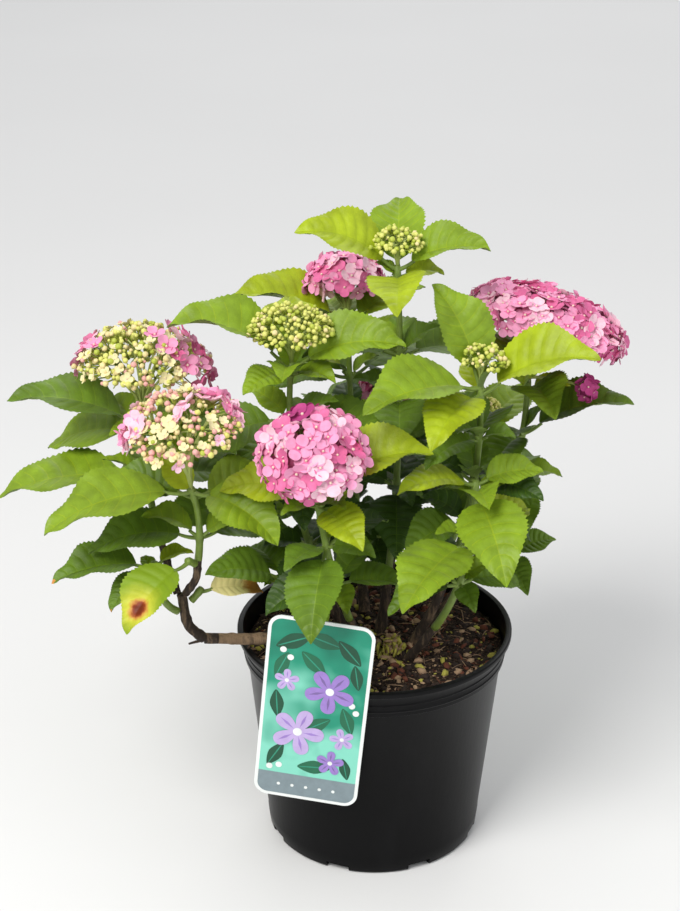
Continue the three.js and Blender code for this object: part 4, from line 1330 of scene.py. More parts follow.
class HYDRANGEA_OT_tag(bpy.types.Operator):
    """Cuts the name tag with its border and tongue, and lays the plain printed picture on it"""

    bl_idname = "hydrangea.tag"
    bl_label = "Name tag"

    def execute(self, context):
        settings = context.scene.hydrangea_tag
        self.card(settings)
        self.picture(settings)
        return {"FINISHED"}

    @staticmethod
    def place():
        """The tag's frame: across, up and out, with its origin at the middle of its head."""
        azimuth = math.radians(TAG_AZIMUTH)
        outward = Vector((math.cos(azimuth), math.sin(azimuth), 0))
        side = Vector((-math.sin(azimuth), math.cos(azimuth), 0))
        turn = Matrix((side, Vector((0, 0, 1)), outward)).transposed().to_4x4()
        spot = outward * (RIM_RADIUS + SEAT) + side * TAG_SLIDE
        spot.z = TAG_TOP
        scale = Matrix.Scale(MM, 4)
        return scale @ Matrix.Translation(spot) @ turn

    def card(self, settings):
        """The card: a plate with rounded corners, an inset border and a tongue over the rim."""
        bm = bmesh.new()
        box(bm, (TAG_WIDTH, TAG_HEIGHT, TAG_THICK), (0, -TAG_HEIGHT / 2, TAG_THICK / 2))
        corners = [edge for edge in bm.edges if abs(edge.verts[0].co.z - edge.verts[1].co.z) > TAG_THICK / 2]
        bmesh.ops.bevel(bm, geom=corners, offset=TAG_CORNER, offset_type="OFFSET", affect="EDGES", segments=8,
                        profile=0.5, material=-1)
        front = [face for face in bm.faces if face.normal.z > 0.5]
        bmesh.ops.inset_region(bm, faces=front, thickness=settings.border / MM, depth=0)
        for face in front:
            face.material_index = 1
        turn = Matrix.Rotation(-math.radians(TAG_LEAN), 3, "Z")
        bmesh.ops.rotate(bm, verts=bm.verts, cent=(0, 0, 0), matrix=turn)
        bar = POT_HEIGHT + SEAT - TAG_TOP + TAG_THICK / 2
        top = bar + TAG_THICK / 2
        low = SOIL_TOP + SEAT - TAG_TOP
        box(bm, (HOOK_WIDTH, TAG_THICK, HOOK_REACH), (0, bar, -HOOK_REACH / 2))
        box(bm, (HOOK_WIDTH, top - low, TAG_THICK), (0, (top + low) / 2, -HOOK_REACH - TAG_THICK / 2))
        bmesh.ops.transform(bm, matrix=self.place(), verts=bm.verts)
        card = drifting("Tag card", tuple(settings.card), shaded(settings.card, 0.92), 60, 0.32, 700, 0.05)
        placed("tag_card", mesh_of(bm, "tag_card"), [card, self.ground(settings)], ["name_tag"])

    def picture(self, settings):
        """Five-petalled flowers among pointed leaves, over a plain band, all a hair proud of the card."""
        heap = Heap()
        petal = self.plate(lambda x, y: (x, y * (0.6 + 0.2 * x)))
        streak = self.plate(lambda x, y: (x, 0.16 * y * (1 - abs(x)) - 0.02 * y))
        leaf = self.plate(lambda x, y: (x, 0.46 * y * (1 - 0.5 * abs(x) ** 1.5)))
        rib = self.plate(lambda x, y: (0.92 * x, 0.04 * y))
        disc = self.plate(lambda x, y: (x, y))
        lean = spin(-math.radians(TAG_LEAN)).T
        matrix = self.place()

        def lay(form, x, y, turn, size, finish, proud):
            points = (form.points * (size, size, 1)) @ spin(turn).T + (x, y, TAG_THICK + proud)
            heap.add(form, np.array([matrix @ Vector(p) for p in points @ lean]) / MM, finish)

        for i, (x, y, turn, size) in enumerate(PRINTED_LEAVES):
            proud = PROUD + 0.02 * (i % 3)
            lay(leaf, x, y, turn, size, GREEN if i % 2 else DARK, proud)
            lay(rib, x, y, turn, size, RIB, proud + 0.01)
        for i, (x, y, size, tone) in enumerate(PRINTED_BLOOMS):
            proud = 0.14 + 0.06 * i
            for k in range(PETALS):
                turn = math.pi / 2 + 0.3 * i + k * 2 * math.pi / PETALS
                out = PETAL_OUT * size
                place = (x + out * math.cos(turn), y + out * math.sin(turn))
                lay(petal, *place, turn, size * PETAL_SIZE, tone, proud + 0.004 * k)
                mark = PLUM if tone == VIOLET else VIOLET
                lay(streak, *place, turn, size * STREAK_SIZE, mark, proud + 0.03)
            lay(disc, x, y, 0, size * EYE_SIZE, WHITE, proud + 0.04)
        for x, y in PRINTED_BERRIES:
            lay(disc, x, y, 0, BERRY_RADIUS, WHITE, 0.14)
        lay(self.band(settings.border / MM), 0, 0, 0, 1, GREY, PROUD)
        for x in PRINTED_DOTS:
            lay(disc, x, DOT_HEIGHT - TAG_HEIGHT, 0, DOT_RADIUS, WHITE, 0.1)
        shades = [("violet", settings.violet), ("lilac", settings.lilac), ("green", settings.green),
                  ("white", settings.card), ("grey", settings.grey),
                  ("dark green", shaded(settings.green, 0.55)),
                  ("plum", shaded(settings.violet, 0.6)), ("rib", settings.teal)]
        heap.piece("tag_print", [
            drifting("Print " + name, tuple(colour), shaded(colour, 0.88), 200, 0.32, 900, 0.03)
            for name, colour in shades
        ], smooth=False)

    @staticmethod
    def plate(shape):
        """A thin closed plate, its face up: a disc of radius 1 whose corners are moved by a shape."""
        bm = bmesh.new()
        bmesh.ops.create_circle(bm, cap_ends=True, segments=PLATE_CORNERS, radius=1)
        for vert in bm.verts:
            vert.co.xy = shape(vert.co.x, vert.co.y)
        thicken(bm)
        return Form(bm)

    @staticmethod
    def band(border):
        """The foot of the printed field, with the card's rounded corners."""
        bm = bmesh.new()
        bmesh.ops.create_grid(bm, x_segments=1, y_segments=1, size=0.5)
        bmesh.ops.scale(bm, verts=bm.verts, vec=(TAG_WIDTH - 2 * border, TAG_HEIGHT - 2 * border, 1))
        bmesh.ops.translate(bm, verts=bm.verts, vec=(0, -TAG_HEIGHT / 2, 0))
        bmesh.ops.bevel(bm, geom=bm.verts[:], offset=TAG_CORNER - border, offset_type="OFFSET",
                        affect="VERTICES", segments=8, profile=0.5, material=-1)
        bmesh.ops.bisect_plane(bm, geom=[*bm.verts, *bm.edges, *bm.faces],
                               plane_co=(0, BAND_TOP - TAG_HEIGHT, 0), plane_no=(0, 1, 0), clear_outer=True)
        thicken(bm)
        return Form(bm)

    @staticmethod
    def ground(settings):
        """The printed ground, a soft wash that deepens up the tag."""
        made = Finish("Tag ground", 0.3, 0.3)
        split = made.node("SeparateXYZ", {}, {0: made.place})
        span = {"From Min": (TAG_TOP - TAG_HEIGHT) * MM, "From Max": TAG_TOP * MM, "To Max": 0.6}
        fade = made.node("MapRange", span, {"Value": split.outputs["Z"]})
        wash = made.blend(made.pattern(30, 2.0), 1.0, fade.outputs["Result"], -0.34)
        teal = tuple(settings.teal)
        made.ramp(wash, (0.3, tuple(settings.mint)), (0.6, teal), (0.95, shaded(teal, 0.45)))
        made.relief(made.pattern(800, 2.0), 0.03, 0.0003)
        return made.material


def spin(turn):
    """A turn about +Z as a matrix."""
    return np.array([[math.cos(turn), -math.sin(turn), 0], [math.sin(turn), math.cos(turn), 0], [0, 0, 1]])


def thicken(bm):
    """Makes thin closed plates of flat faces."""
    grown = bmesh.ops.extrude_face_region(bm, geom=bm.faces[:])["geom"]
    top = [part for part in grown if isinstance(part, bmesh.types.BMVert)]
    bmesh.ops.translate(bm, verts=top, vec=(0, 0, PLATE_THICK))
    bmesh.ops.recalc_face_normals(bm, faces=bm.faces)


# The bark's old leaf scars in millimetres along a cane, how fine its ridges and swellings are round it and
# along it and how far they shift from cane to cane, and the stubs on the low left cane: the share along
# it, the way each one points, and both its radii
SCAR_FIRST = 6
SCAR_STEP = 17
SCAR_WIDTH = 1.6
SCAR_SWELL = 0.12
WORN_SHARE = 0.9
RIDGES = (2.4, 0.09, 9)
SWELLINGS = (0.9, 0.3, 5)
RIDGE_PART = 1.3
BARK_INSET = 0.1
STUBS = [(0.97, (-13, -2, -3), (1.5, 0.7)), (0.62, (-2, -3, -7), (1.2, 0.6))]


class HYDRANGEA_OT_canes(bpy.types.Operator):
    """Grows the woody canes with ridged bark, old leaf scars and two broken stubs"""

    bl_idname = "hydrangea.canes"
    bl_label = "Canes"

    def execute(self, context):
        settings = context.scene.hydrangea_canes
        heap = Heap()
        rod = rod_form(*CANE_ROD)
        worn = np.where(rod.middles()[:, 2] < WORN_SHARE, 1, 0)
        for number, cane in enumerate(CANES):
            curve = plant.canes[cane.name]
            bark = self.bark(cane, curve, number, settings.ridges / MM)
            heap.add(rod, swept(rod, curve, bark), worn if cane.name == "cane_left_low" else 0)
        stub = rod_form(*STALK_ROD)
        for share, reach, radii in STUBS:
            start = plant.canes["cane_left_low"].point(share)
            heap.add(stub, straight(stub, start, start + reach, *radii), 0)
        heap.piece("canes", [self.finish("Bark", settings.bark, settings.worn),
                             self.finish("Worn bark", settings.worn, settings.bark)],
                   [cane.name for cane in CANES])
        return {"FINISHED"}

    @staticmethod
    def bark(cane, curve, number, depth):
        """Radius along and round a cane: tapering, ridged lengthways, swollen at each old leaf pair."""
        scars = np.arange(SCAR_FIRST, curve.length, SCAR_STEP)

        def grain(angles, along, across, lengthways, shift):
            height = along * lengthways + shift * number
            return np.array([noise.noise(Vector((math.cos(a) * across, math.sin(a) * across, height)))
                             for a in angles])

        def radius(share, angles):
            along = share * curve.length
            swell = sum(math.exp(-((along - scar) / SCAR_WIDTH) ** 2) for scar in scars)
            rough = RIDGE_PART * grain(angles, along, *RIDGES) + grain(angles, along, *SWELLINGS)
            full = lerp(*cane.radii, share)
            return full * (1 + SCAR_SWELL * min(swell, 1)) + depth * rough - BARK_INSET

        return radius

    @staticmethod
    def finish(name, base, other):
        made = Finish(name, 0.88, 0.3)
        made.ramp(made.pattern(150, 6.0, 0.7, (1.6, 1.6, 0.35)),
                  (0.3, shaded(base, 0.55)), (0.5, tuple(base)), (0.72, shaded(other, 0.95)))
        made.relief(made.pattern(900, 6.0, 0.75, (1.5, 1.5, 0.4)), 0.7, 0.0009)
        return made.material


# Radii of stalks, rays and twigs at both ends in millimetres, the stalk's with its ease, how many rays a
# small and a large head has and how far out they and their twigs end, and a stem's swelling at its nodes
STALK = (1.75, 1.1, 0.6)
TUFT_RAY = (1.3, 0.8)
RAY = (1.2, 0.75)
TWIG = (0.7, 0.4)
BUD_STALK = (0.45, 0.35)
STALK_SAG = 0.04
SMALL_HEAD = 20
RAY_COUNTS = (7, 13)
RAY_SHARE = 0.5
TWIG_SHARE = 0.86
TWIGS_ON_RAY = 5
NODE_WIDTH = 2.4
NODE_SWELL = 0.3
TUFT = (138, 24, 314)


class HYDRANGEA_OT_stems(bpy.types.Operator):
    """Grows the green stems, the leaf stalks and the rays under the heads"""

    bl_idname = "hydrangea.stems"
    bl_label = "Stems"

    def execute(self, context):
        settings = context.scene.hydrangea_canes
        heap = Heap()
        stem = rod_form(*STEM_ROD)
        stalk = rod_form(*STALK_ROD)
        for shoot in SHOOTS:
            curve = plant.stems[shoot.name]
            shares = node_shares(shoot, curve)
            heap.add(stem, swept(stem, curve, self.noded(curve, shares)), 0)
        for leaf in plant.leaves:
            middle = (leaf.root + leaf.base) / 2 - (0, 0, STALK_SAG * leaf.length)
            curve = arched(leaf.root, middle, leaf.base + leaf.outward * 1.5)
            heap.add(stalk, swept(stalk, curve, even(*STALK), leaf.side), 0)
        for dome in plant.domes:
            self.rays(heap, dome)
        fork = next(dome.fork for dome in plant.domes if dome.owner == "shoot_far_right")
        curve = arched(fork, (fork + TUFT) / 2 + (4, 0, 4), np.array(TUFT, float))
        heap.add(stalk, swept(stalk, curve, even(*TUFT_RAY)), 1)
        heap.piece("stems", [
            drifting("Stem", tuple(settings.green), shaded(settings.green, 0.7), 120, 0.5, 1200, 0.3),
            drifting("Ray", tuple(settings.rays), shaded(settings.rays, 0.8), 160, 0.5, 1200, 0.3),
        ])
        return {"FINISHED"}

    @staticmethod
    def noded(curve, shares):
        """Radius of a stem, which swells at each leaf pair."""

        def radius(share, angles):
            swell = sum(math.exp(-((share - node) * curve.length / NODE_WIDTH) ** 2) for node in shares)
            full = lerp(STEM_FOOT, STEM_TOP, share)
            return np.full(len(angles), full * (1 + NODE_SWELL * min(swell, 1)))

        return radius

    @staticmethod
    def rays(heap, dome):
        """Rays from the fork to places inside the dome, each splitting towards its own part of it."""
        ray = rod_form(*RAY_ROD)
        twig = rod_form(*TWIG_ROD)
        count = RAY_COUNTS[dome.radius >= SMALL_HEAD]
        tips = dome.places(count, RAY_SHARE)[0]
        ends = dome.places(TWIGS_ON_RAY * count, TWIG_SHARE)[0]
        for tip in tips:
            bend = dome.fork + dome.axis * 0.5 * np.linalg.norm(tip - dome.fork)
            heap.add(ray, swept(ray, arched(dome.fork - dome.axis, bend, tip), even(*RAY)), 1)
        for end in ends:
            tip = tips[np.argmin(np.linalg.norm(tips - end, axis=1))]
            heap.add(twig, straight(twig, tip, end, *TWIG), 1)


# The faces' finishes, the colours that they come from, and the veins' colours as mixes of two of these;
# sunlit, fresh, middle and deep are the leaf green in steps of painted light and shade
LEAF_FINISHES = ["sunlit", "fresh", "middle", "deep", "vein_sunlit", "vein_fresh", "vein_middle", "vein_deep",
                 "back", "scorched", "spotted", "withered"]
VEIN = LEAF_FINISHES.index("vein_sunlit")
BACK = LEAF_FINISHES.index("back")
SCORCHED = LEAF_FINISHES.index("scorched")
SPOTTED = LEAF_FINISHES.index("spotted")
WITHERED = LEAF_FINISHES.index("withered")
LEAF_COLOURS = ["sunlit", "fresh", "middle", "deep", "back", "scorched", "yellowed", "brown", "dry"]
VEIN_MIXES = {"vein_sunlit": ("fresh", "sunlit", 0.8), "vein_fresh": ("fresh", "sunlit", 0.4),
              "vein_middle": ("middle", "fresh", 0.45), "vein_deep": ("deep", "middle", 0.5)}
SCORCHED_TIP = 0.93
SPOT_REACH = 22
DRY_REACH = 34

# Rows of a bay between two side veins, and columns over half a blade
BAY_ROWS = (0.08, 0.26, 0.44, 0.63, 0.82, 1.0)
GROWN_COLUMNS = (0.022, 0.25, 0.5, 0.77, 1.0)
YOUNG_COLUMNS = (0.03, 0.5, 1.0)
YOUNG_VEINS = 5
MIDRIB = 0.02
VEINS_START = 0.08
VEINS_END = 0.86

# How blades differ: the slant of their veins, the waves of the margin, the fold in degrees and the sag as
# a share of the length, and a leaf that hangs lower by some millimetres, under the leaf above it, by its
# shoot, its node and whether it points left
BLADE_SEED = 500
SLANTS = (0.12, 0.18)
WAVES = (1.6, 2.6)
FOLDS = (-5, 14)
SAGS = (0.02, 0.09)
FULL_LENGTH = 70
QUILT_START = 0.2
MARGIN = 0.99
TOOTH_OUT = 0.5
TOOTH_IN = -0.8
TIP_START = 0.6
TIP_DRAWN = 0.5
HANGS = {("shoot_left", 1, True): 3.2}

# How bright a leaf is painted at one depth and height in the crown, how that changes from node to node and
# from place to place, where one tone gives way to the next, and the tones of some stated leaves. These tones
# are painted light and shade: lighter high and towards the front, darker down the nodes and towards the back;
# down the nodes the darkening is partly also the real darker green of older leaves.
TONE_SEED = 900
SUN = 0.42
SUN_PLACE = np.array([-40, 250])
SUN_BY_NODE = -0.3
SUN_BY_PLACE = np.array([-0.0015, 0.35 / 150])
TONE_SPREAD = 0.32
TONE_STEPS = (0.75, 0.2, -0.4)
STATED_SUN = 0.3
YOUNG_SUN = 0.4
# The tones of these stated leaves are painted light or painted shade, as each one is lit.
STATED_TONES = {("shoot_far_left", 0): 2, ("shoot_far_left", 2): 1, ("shoot_left", 0): 1,
                ("shoot_right_front", 0): 1, ("shoot_right_front", 1): 0}


class HYDRANGEA_OT_leaves(bpy.types.Operator):
    """Grows every leaf by the plant's rule, toothed, quilted and veined"""

    bl_idname = "hydrangea.leaves"
    bl_label = "Leaves"

    def execute(self, context):
        settings = context.scene.hydrangea_leaves
        grown = self.blade(settings.veins, GROWN_COLUMNS)
        young = self.blade(YOUNG_VEINS, YOUNG_COLUMNS)
        finishes = self.finishes(settings)
        order = sorted(plant.leaves, key=lambda leaf: leaf.base[1])
        half = len(order) // 2
        shoots = [shoot.name for shoot in SHOOTS]
        parts = {"leaves_front": (order[:half], shoots), "leaves_rear": (order[half:], [])}
        for name, (chosen, replaced) in parts.items():
            heap = Heap()
            for leaf in chosen:
                blade = young if leaf.young else grown
                veins = YOUNG_VEINS if leaf.young else settings.veins
                heap.add(blade, self.shape(leaf, blade, veins, settings), self.tones(leaf, blade))
            heap.piece(name, finishes, replaced)
        return {"FINISHED"}

    @staticmethod
    def rows(veins):
        """Where the rows of a blade lie along it: each bay starts with a narrow strip, its side vein."""
        rows = [0.003] + [(k + part) / veins for k in range(veins) for part in BAY_ROWS]
        rows[-1] = 0.997
        return rows

    def blade(self, veins, half):
        """A closed flat leaf: x is across from -1 to 1, y is along from 0 to 1, and z is -1 on its back."""
        rows = self.rows(veins)
        columns = [-c for c in reversed(half)] + list(half)
        bm = bmesh.new()
        bmesh.ops.create_grid(bm, x_segments=len(columns) - 1, y_segments=len(rows) - 1, size=1)
        for vert in bm.verts:
            column = round((vert.co.x + 1) / 2 * (len(columns) - 1))
            row = round((vert.co.y + 1) / 2 * (len(rows) - 1))
            vert.co = (columns[column], rows[row], 0)
        for face in bm.faces:
            middle = face.calc_center_median()
            span = max(vert.co.y for vert in face.verts) - min(vert.co.y for vert in face.verts)
            midrib = abs(middle.x) < MIDRIB
            side_vein = span < 0.1 / veins and abs(middle.x) < VEINS_END and middle.y > VEINS_START
            face.material_index = 1 if midrib or side_vein else 0
        back = bmesh.ops.duplicate(bm, geom=[*bm.verts, *bm.edges, *bm.faces])["geom"]
        back_faces = [part for part in back if isinstance(part, bmesh.types.BMFace)]
        bmesh.ops.reverse_faces(bm, faces=back_faces)
        for face in back_faces:
            face.material_index = 2
        for vert in (part for part in back if isinstance(part, bmesh.types.BMVert)):
            vert.co.z = 0 if vert.is_boundary else -1
        for edge in bm.edges:
            edge.smooth = not edge.is_boundary
        bmesh.ops.remove_doubles(bm, verts=bm.verts, dist=0.0001)
        return Form(bm)

    def shape(self, leaf, blade, veins, settings):
        """The blade's corners on its leaf: slanting veins, a toothed and waving margin, a drawn-out tip."""
        draw = np.random.default_rng(BLADE_SEED + leaf.number)
        across, share, back = blade.points.T
        out = np.abs(across)
        slant = draw.uniform(*SLANTS)
        along = share + slant * 4 * share * (1 - share) * out ** 1.5
        middle = np.sin(math.pi * share) ** 0.5
        bay = np.sin(math.pi * np.mod(share * veins, 1))
        lift = settings.quilt / MM * bay * np.clip(out / QUILT_START, 0, 1) * (1 - out ** 4) * middle
        start = np.where(across > 0, *draw.uniform(0, 2 * math.pi, 2))
        wave = np.sin(2 * math.pi * draw.uniform(*WAVES) * share + start)
        lift = lift + settings.wave / MM * wave * out ** 2.5 * middle * leaf.length / FULL_LENGTH
        fold = math.tan(math.radians(draw.uniform(*FOLDS)))
        lift = lift + out * leaf.width * blade_profile(along) * fold
        lift = lift - draw.uniform(*SAGS) * leaf.length * share ** 3
        lift = lift - HANGS.get((leaf.owner, leaf.node, leaf.outward[0] < 0), 0) * middle
        lift = lift + back * settings.thickness / MM
        tooth_tip = np.searchsorted(self.rows(veins), share - 0.0001) % 2 == 0
        teeth = np.where(out > MARGIN, 1 + settings.tooth * np.where(tooth_tip, TOOTH_OUT, TOOTH_IN), 1)
        drawn = np.clip((along - TIP_START) / (1 - TIP_START), 0, 1)
        return blade_points(leaf, along, across, lift, (1 - TIP_DRAWN * drawn * (1 - drawn)) * teeth)

    @staticmethod
    def tones(leaf, blade):
        """Each face's finish: one tone to a leaf by its node and place, which paints light on high and front
        leaves and shade on low and rear ones, the darkening down the nodes being partly also the real darker
        green of older leaves, and its veins and back.
        """
        draw = np.random.default_rng(TONE_SEED + leaf.number)
        # Painted light and shade: brighter higher and towards the front, darker down the nodes and towards
        # the back
        sun = SUN + SUN_BY_NODE * leaf.node + SUN_BY_PLACE @ (leaf.base[1:] - SUN_PLACE)
        sun += draw.normal(0, TONE_SPREAD) + STATED_SUN * leaf.stated + YOUNG_SUN * leaf.young
        tone = sum(sun <= step for step in TONE_STEPS)
        if leaf.stated:
            tone = STATED_TONES.get((leaf.owner, leaf.node), tone)
        finish = np.choose(blade.finish, [tone, VEIN + tone, BACK])
        if leaf.owner == "spray_low_left":
            finish = np.where(blade.middles()[:, 1] > SCORCHED_TIP, SCORCHED, finish)
        if leaf.owner == "spray_spotted" and not leaf.young:
            finish = np.where(blade.finish < 2, SPOTTED, finish)
        if leaf.owner == "spray_dry" and not leaf.young:
            finish = np.full_like(finish, WITHERED)
        return finish

    def finishes(self, settings):
        tones = {name: np.array(getattr(settings, name)) for name in LEAF_COLOURS}
        for name, (first, second, share) in VEIN_MIXES.items():
            tones[name] = lerp(tones[first], tones[second], share)
        made = []
        # The materials Leaf sunlit to Leaf deep, with their veins, are the leaf green in steps of painted
        # light and shade
        for name in LEAF_FINISHES[:SPOTTED]:
            matt = name in ("back", "scorched")
            made.append(drifting("Leaf " + name.replace("_", " "), shaded(tones[name], 0.76),
                                 shaded(tones[name], 1.14), 60, 0.62 if matt else 0.46, 420, 0.5, 0.3))
        brown, yellowed, dry, scorched, fresh = (
            tones[name] for name in ("brown", "yellowed", "dry", "scorched", "fresh"))
        spot = Finish("Leaf spotted", 0.5, 0.26)
        spot.ramp(spot.around(self.place("spray_spotted", 0.66, 0.1), SPOT_REACH, 0.35),
                  (0.1, shaded(brown, 0.6)), (0.2, brown), (0.28, scorched), (0.4, yellowed),
                  (0.62, lerp(yellowed, fresh, 0.6)), (0.85, fresh))
        withered = Finish("Leaf withered", 0.7, 0.2)
        withered.ramp(withered.around(self.place("spray_dry", 1.0, 0.0), DRY_REACH, 0.45),
                      (0.1, shaded(scorched, 0.7)), (0.35, scorched), (0.5, dry), (0.9, shaded(dry, 0.9)))
        return [*made, spot.material, withered.material]

    @staticmethod
    def place(owner, along, across):
        """A place on the first leaf of a spray."""
        leaf = next(leaf for leaf in plant.leaves if leaf.owner == owner)
        return blade_points(leaf, np.array([along]), np.array([across]))[0]


# Sepal finishes with the finish at each one's base, a darker one that is painted shade where the sepals
# meet, and spots on a head by place and reach as shares of its radius: pink where a head opens, and a
# painted shade of magenta on the front head. A floret's form is its cup and its width, and a layer of a full
# head is its size, its part of the count and the shares of the first three finishes; the inner layer's darker
# shares are painted shade deep in the head. Bud finishes have their shares in each kind of head.
PETAL_FINISHES = ["pale", "pink", "rose", "magenta", "eye", "cream"]
# The finish at each sepal's base: mostly a darker one, painted shade where the sepals meet
PETAL_BASES = [1, 2, 2, 3, 4, 5]
PINK = PETAL_FINISHES.index("pink")
ROSE = PETAL_FINISHES.index("rose")
MAGENTA = PETAL_FINISHES.index("magenta")
EYE = PETAL_FINISHES.index("eye")
CREAM = PETAL_FINISHES.index("cream")
OPEN_SPAN = math.radians(97)
BLUSHES = {
    "shoot_far_left": [(-0.8, 0.0, 0.36), (0.66, -0.1, 0.52)],
    "shoot_left": [(-0.86, -0.2, 0.3), (0.68, 0.3, 0.34), (0.0, -0.1, 0.2)],
    "shoot_rear_left": [(-0.5, 0.5, 0.5), (0.6, -0.3, 0.45)],
}
BLUSH_SHARE = 0.8
CREAM_SHARE = 0.34
WARM_HEAD = "shoot_left"
# A spot of painted shade on the front head, at its upper left towards the back, whose florets take the
# magenta finish
SHADED_SPOTS = {"shoot_front": [(-0.3, 0.42, 0.3)]}
FLORET_FORMS = [(0.1, 0.56), (0.22, 0.6), (0.34, 0.54)]
FLORET_SEED = 40
BUD_SEED = 70
# The inner layer leans to rose: painted shade deep in the head, between the outer florets
HEAD_LAYERS = [(0.72, 0.5, (0.05, 0.35, 0.6)), (0.92, 1, (0.27, 0.49, 0.24))]
OVERLAP = 1.2
NOD = 0.24
FLORET_SIZES = (0.82, 1.08)
FLORET_DEPTHS = (-0.25, 0.15)
LOW_TILT = 1.35
LOW_SIZE = 0.85
YOUNG_NOD = 0.26
BLUSH_SIZES = (0.6, 1.0)
CREAM_SIZES = (0.36, 0.55)
TUFT_SIZES = (0.62, 0.8)
YOUNG_DEPTH = 0.94
BEAD = 0.13
SEPAL_BASE = 0.22
RUFFLE = 0.04
CURL = 0.16
STAGGER = 0.07
RAGGED = 0.25
RAGGED_SCALE = 12
YOUNG_FLORETS = 130
TUFT_RADIUS = 4.5
TUFT_FLORETS = 9
BUD_FINISHES = ["green_bud", "lime_bud", "cream_bud", "blush_bud"]
BUD_SHARES = {"buds": (0.3, 0.6, 0.1, 0.0), "opening": (0.14, 0.42, 0.34, 0.1),
              "warm": (0.04, 0.16, 0.46, 0.34)}
BUD_SPACING = 2.3
BUDS_TO_CLUMP = 8
BUD_CREASE = 0.12
BUD_DEPTHS = (0.8, 1.0)
BUD_SIZES = (0.55, 1.2)
BUD_STRAY = 0.35
OPENING_BUDS = 1.15
ROOT_SHARE = 0.62
CLUMPING = 0.22


class HYDRANGEA_OT_florets(bpy.types.Operator):
    """Covers the open heads in four-sepalled florets"""

    bl_idname = "hydrangea.florets"
    bl_label = "Florets"

    def execute(self, context):
        settings = context.scene.hydrangea_blossom
        heap = Heap()
        forms = [self.floret(cup, wide) for cup, wide in FLORET_FORMS]
        radius = settings.floret / MM
        for dome in plant.domes:
            rng = np.random.default_rng(FLORET_SEED + dome.seed)
            if dome.kind == "pink":
                self.cover(heap, forms, dome, radius, settings.spacing / MM, rng)
            if dome.kind == "opening":
                self.fringe(heap, forms, dome, radius, rng)
        self.hanging(heap, forms, radius)
        finishes = drifts("Sepal", settings, PETAL_FINISHES, 0.82, 180, 0.55, 1400, 0.2, 0.3)
        heap.piece("florets", finishes)
        return {"FINISHED"}

    @staticmethod
    def floret(cup, wide):
        """Four rounded sepals round a bead, of radius 1, with +Z as their face."""
        bm = bmesh.new()
        for i in range(4):
            sepal = bmesh.ops.create_grid(bm, x_segments=5, y_segments=5, size=1)["verts"]
            for vert in sepal:
                x, y = vert.co.xy
                out = (x * math.sqrt(1 - y * y / 2) + 1) / 2
                across = y * math.sqrt(1 - x * x / 2)
                ruffle = RUFFLE * math.sin(5 * across + 2 * i) * out
                height = cup * out ** 2 + CURL * across ** 2 * out + STAGGER * (i % 2) + ruffle
                width = wide * (0.72 + 0.28 * out)
                vert.co = (0.04 + 0.96 * out, across * width, height)
            faces = {face for vert in sepal for face in vert.link_faces}
            # The base of each sepal takes the darker finish: painted shade where the sepals meet
            for face in faces:
                face.material_index = 1 if face.calc_center_median().x < SEPAL_BASE else 0
            bmesh.ops.rotate(bm, verts=sepal, cent=(0, 0, 0), matrix=Matrix.Rotation(i * math.pi / 2, 3, "Z"))
        bead = bmesh.ops.create_icosphere(bm, subdivisions=1, radius=BEAD)["verts"]
        bmesh.ops.translate(bm, verts=bead, vec=(0, 0, 0.1))
        for face in {face for vert in bead for face in vert.link_faces}:
            face.material_index = 2
        return Form(bm)

    @staticmethod
    def add(heap, form, place, normal, turn, size, tone):
        finish = np.choose(form.finish, [tone, PETAL_BASES[tone], EYE])
        heap.add(form, standing(form, place, normal, turn, size), finish)

    def cover(self, heap, forms, dome, radius, spacing, rng):
        """Two layers of florets: the outer one makes the face of the head, the inner one its depth, in darker
        tones that are painted shade.
        """
        count = round(dome.area() / spacing ** 2 * OVERLAP)
        for share, part, weights in HEAD_LAYERS:
            for place, normal, turn, tilt in zip(*dome.places(int(count * part), share)):
                normal = unit(normal + rng.normal(0, NOD, 3))
                size = radius * rng.uniform(*FLORET_SIZES) * (LOW_SIZE if tilt > LOW_TILT else 1)
                place = place + normal * rng.uniform(*FLORET_DEPTHS) * size
                form = forms[int(rng.integers(len(forms)))]
                # Florets in the painted shade spot take the magenta finish
                tone = MAGENTA if within(dome, place, SHADED_SPOTS) else int(rng.choice(3, p=weights))
                self.add(heap, form, place, normal, turn, size, tone)

    def fringe(self, heap, forms, dome, radius, rng):
        """Young florets on a head that is opening: pink at its left and right, small and cream between."""
        warm = dome.owner == WARM_HEAD
        for place, normal, turn, _ in zip(*dome.places(YOUNG_FLORETS, YOUNG_DEPTH, OPEN_SPAN)):
            normal = unit(normal + rng.normal(0, YOUNG_NOD, 3))
            if within(dome, place, BLUSHES) and rng.random() < BLUSH_SHARE:
                size = radius * rng.uniform(*BLUSH_SIZES)
                tone = int(rng.choice([0, 0, PINK] if warm else [0, PINK, PINK, ROSE]))
                self.add(heap, forms[2], place, normal, turn, size, tone)
            elif rng.random() < CREAM_SHARE:
                size = radius * rng.uniform(*CREAM_SIZES)
                tone = int(rng.choice([CREAM, CREAM, 0] if warm else [CREAM]))
                self.add(heap, forms[2], place + normal * 0.8, normal, turn, size, tone)

    def hanging(self, heap, forms, radius):
        """A spent tuft that hangs under the edge of the right-hand head, on its own ray."""
        rng = np.random.default_rng(5)
        for i in range(TUFT_FLORETS):
            turn = i * GOLDEN
            height = 1 - 2 * (i + 0.5) / TUFT_FLORETS
            out = math.sqrt(1 - height ** 2)
            normal = np.array([out * math.cos(turn), out * math.sin(turn), height])
            place = TUFT + normal * TUFT_RADIUS * (1, 1, 1.4)
            self.add(heap, forms[2], place, unit(normal), turn, radius * rng.uniform(*TUFT_SIZES), MAGENTA)


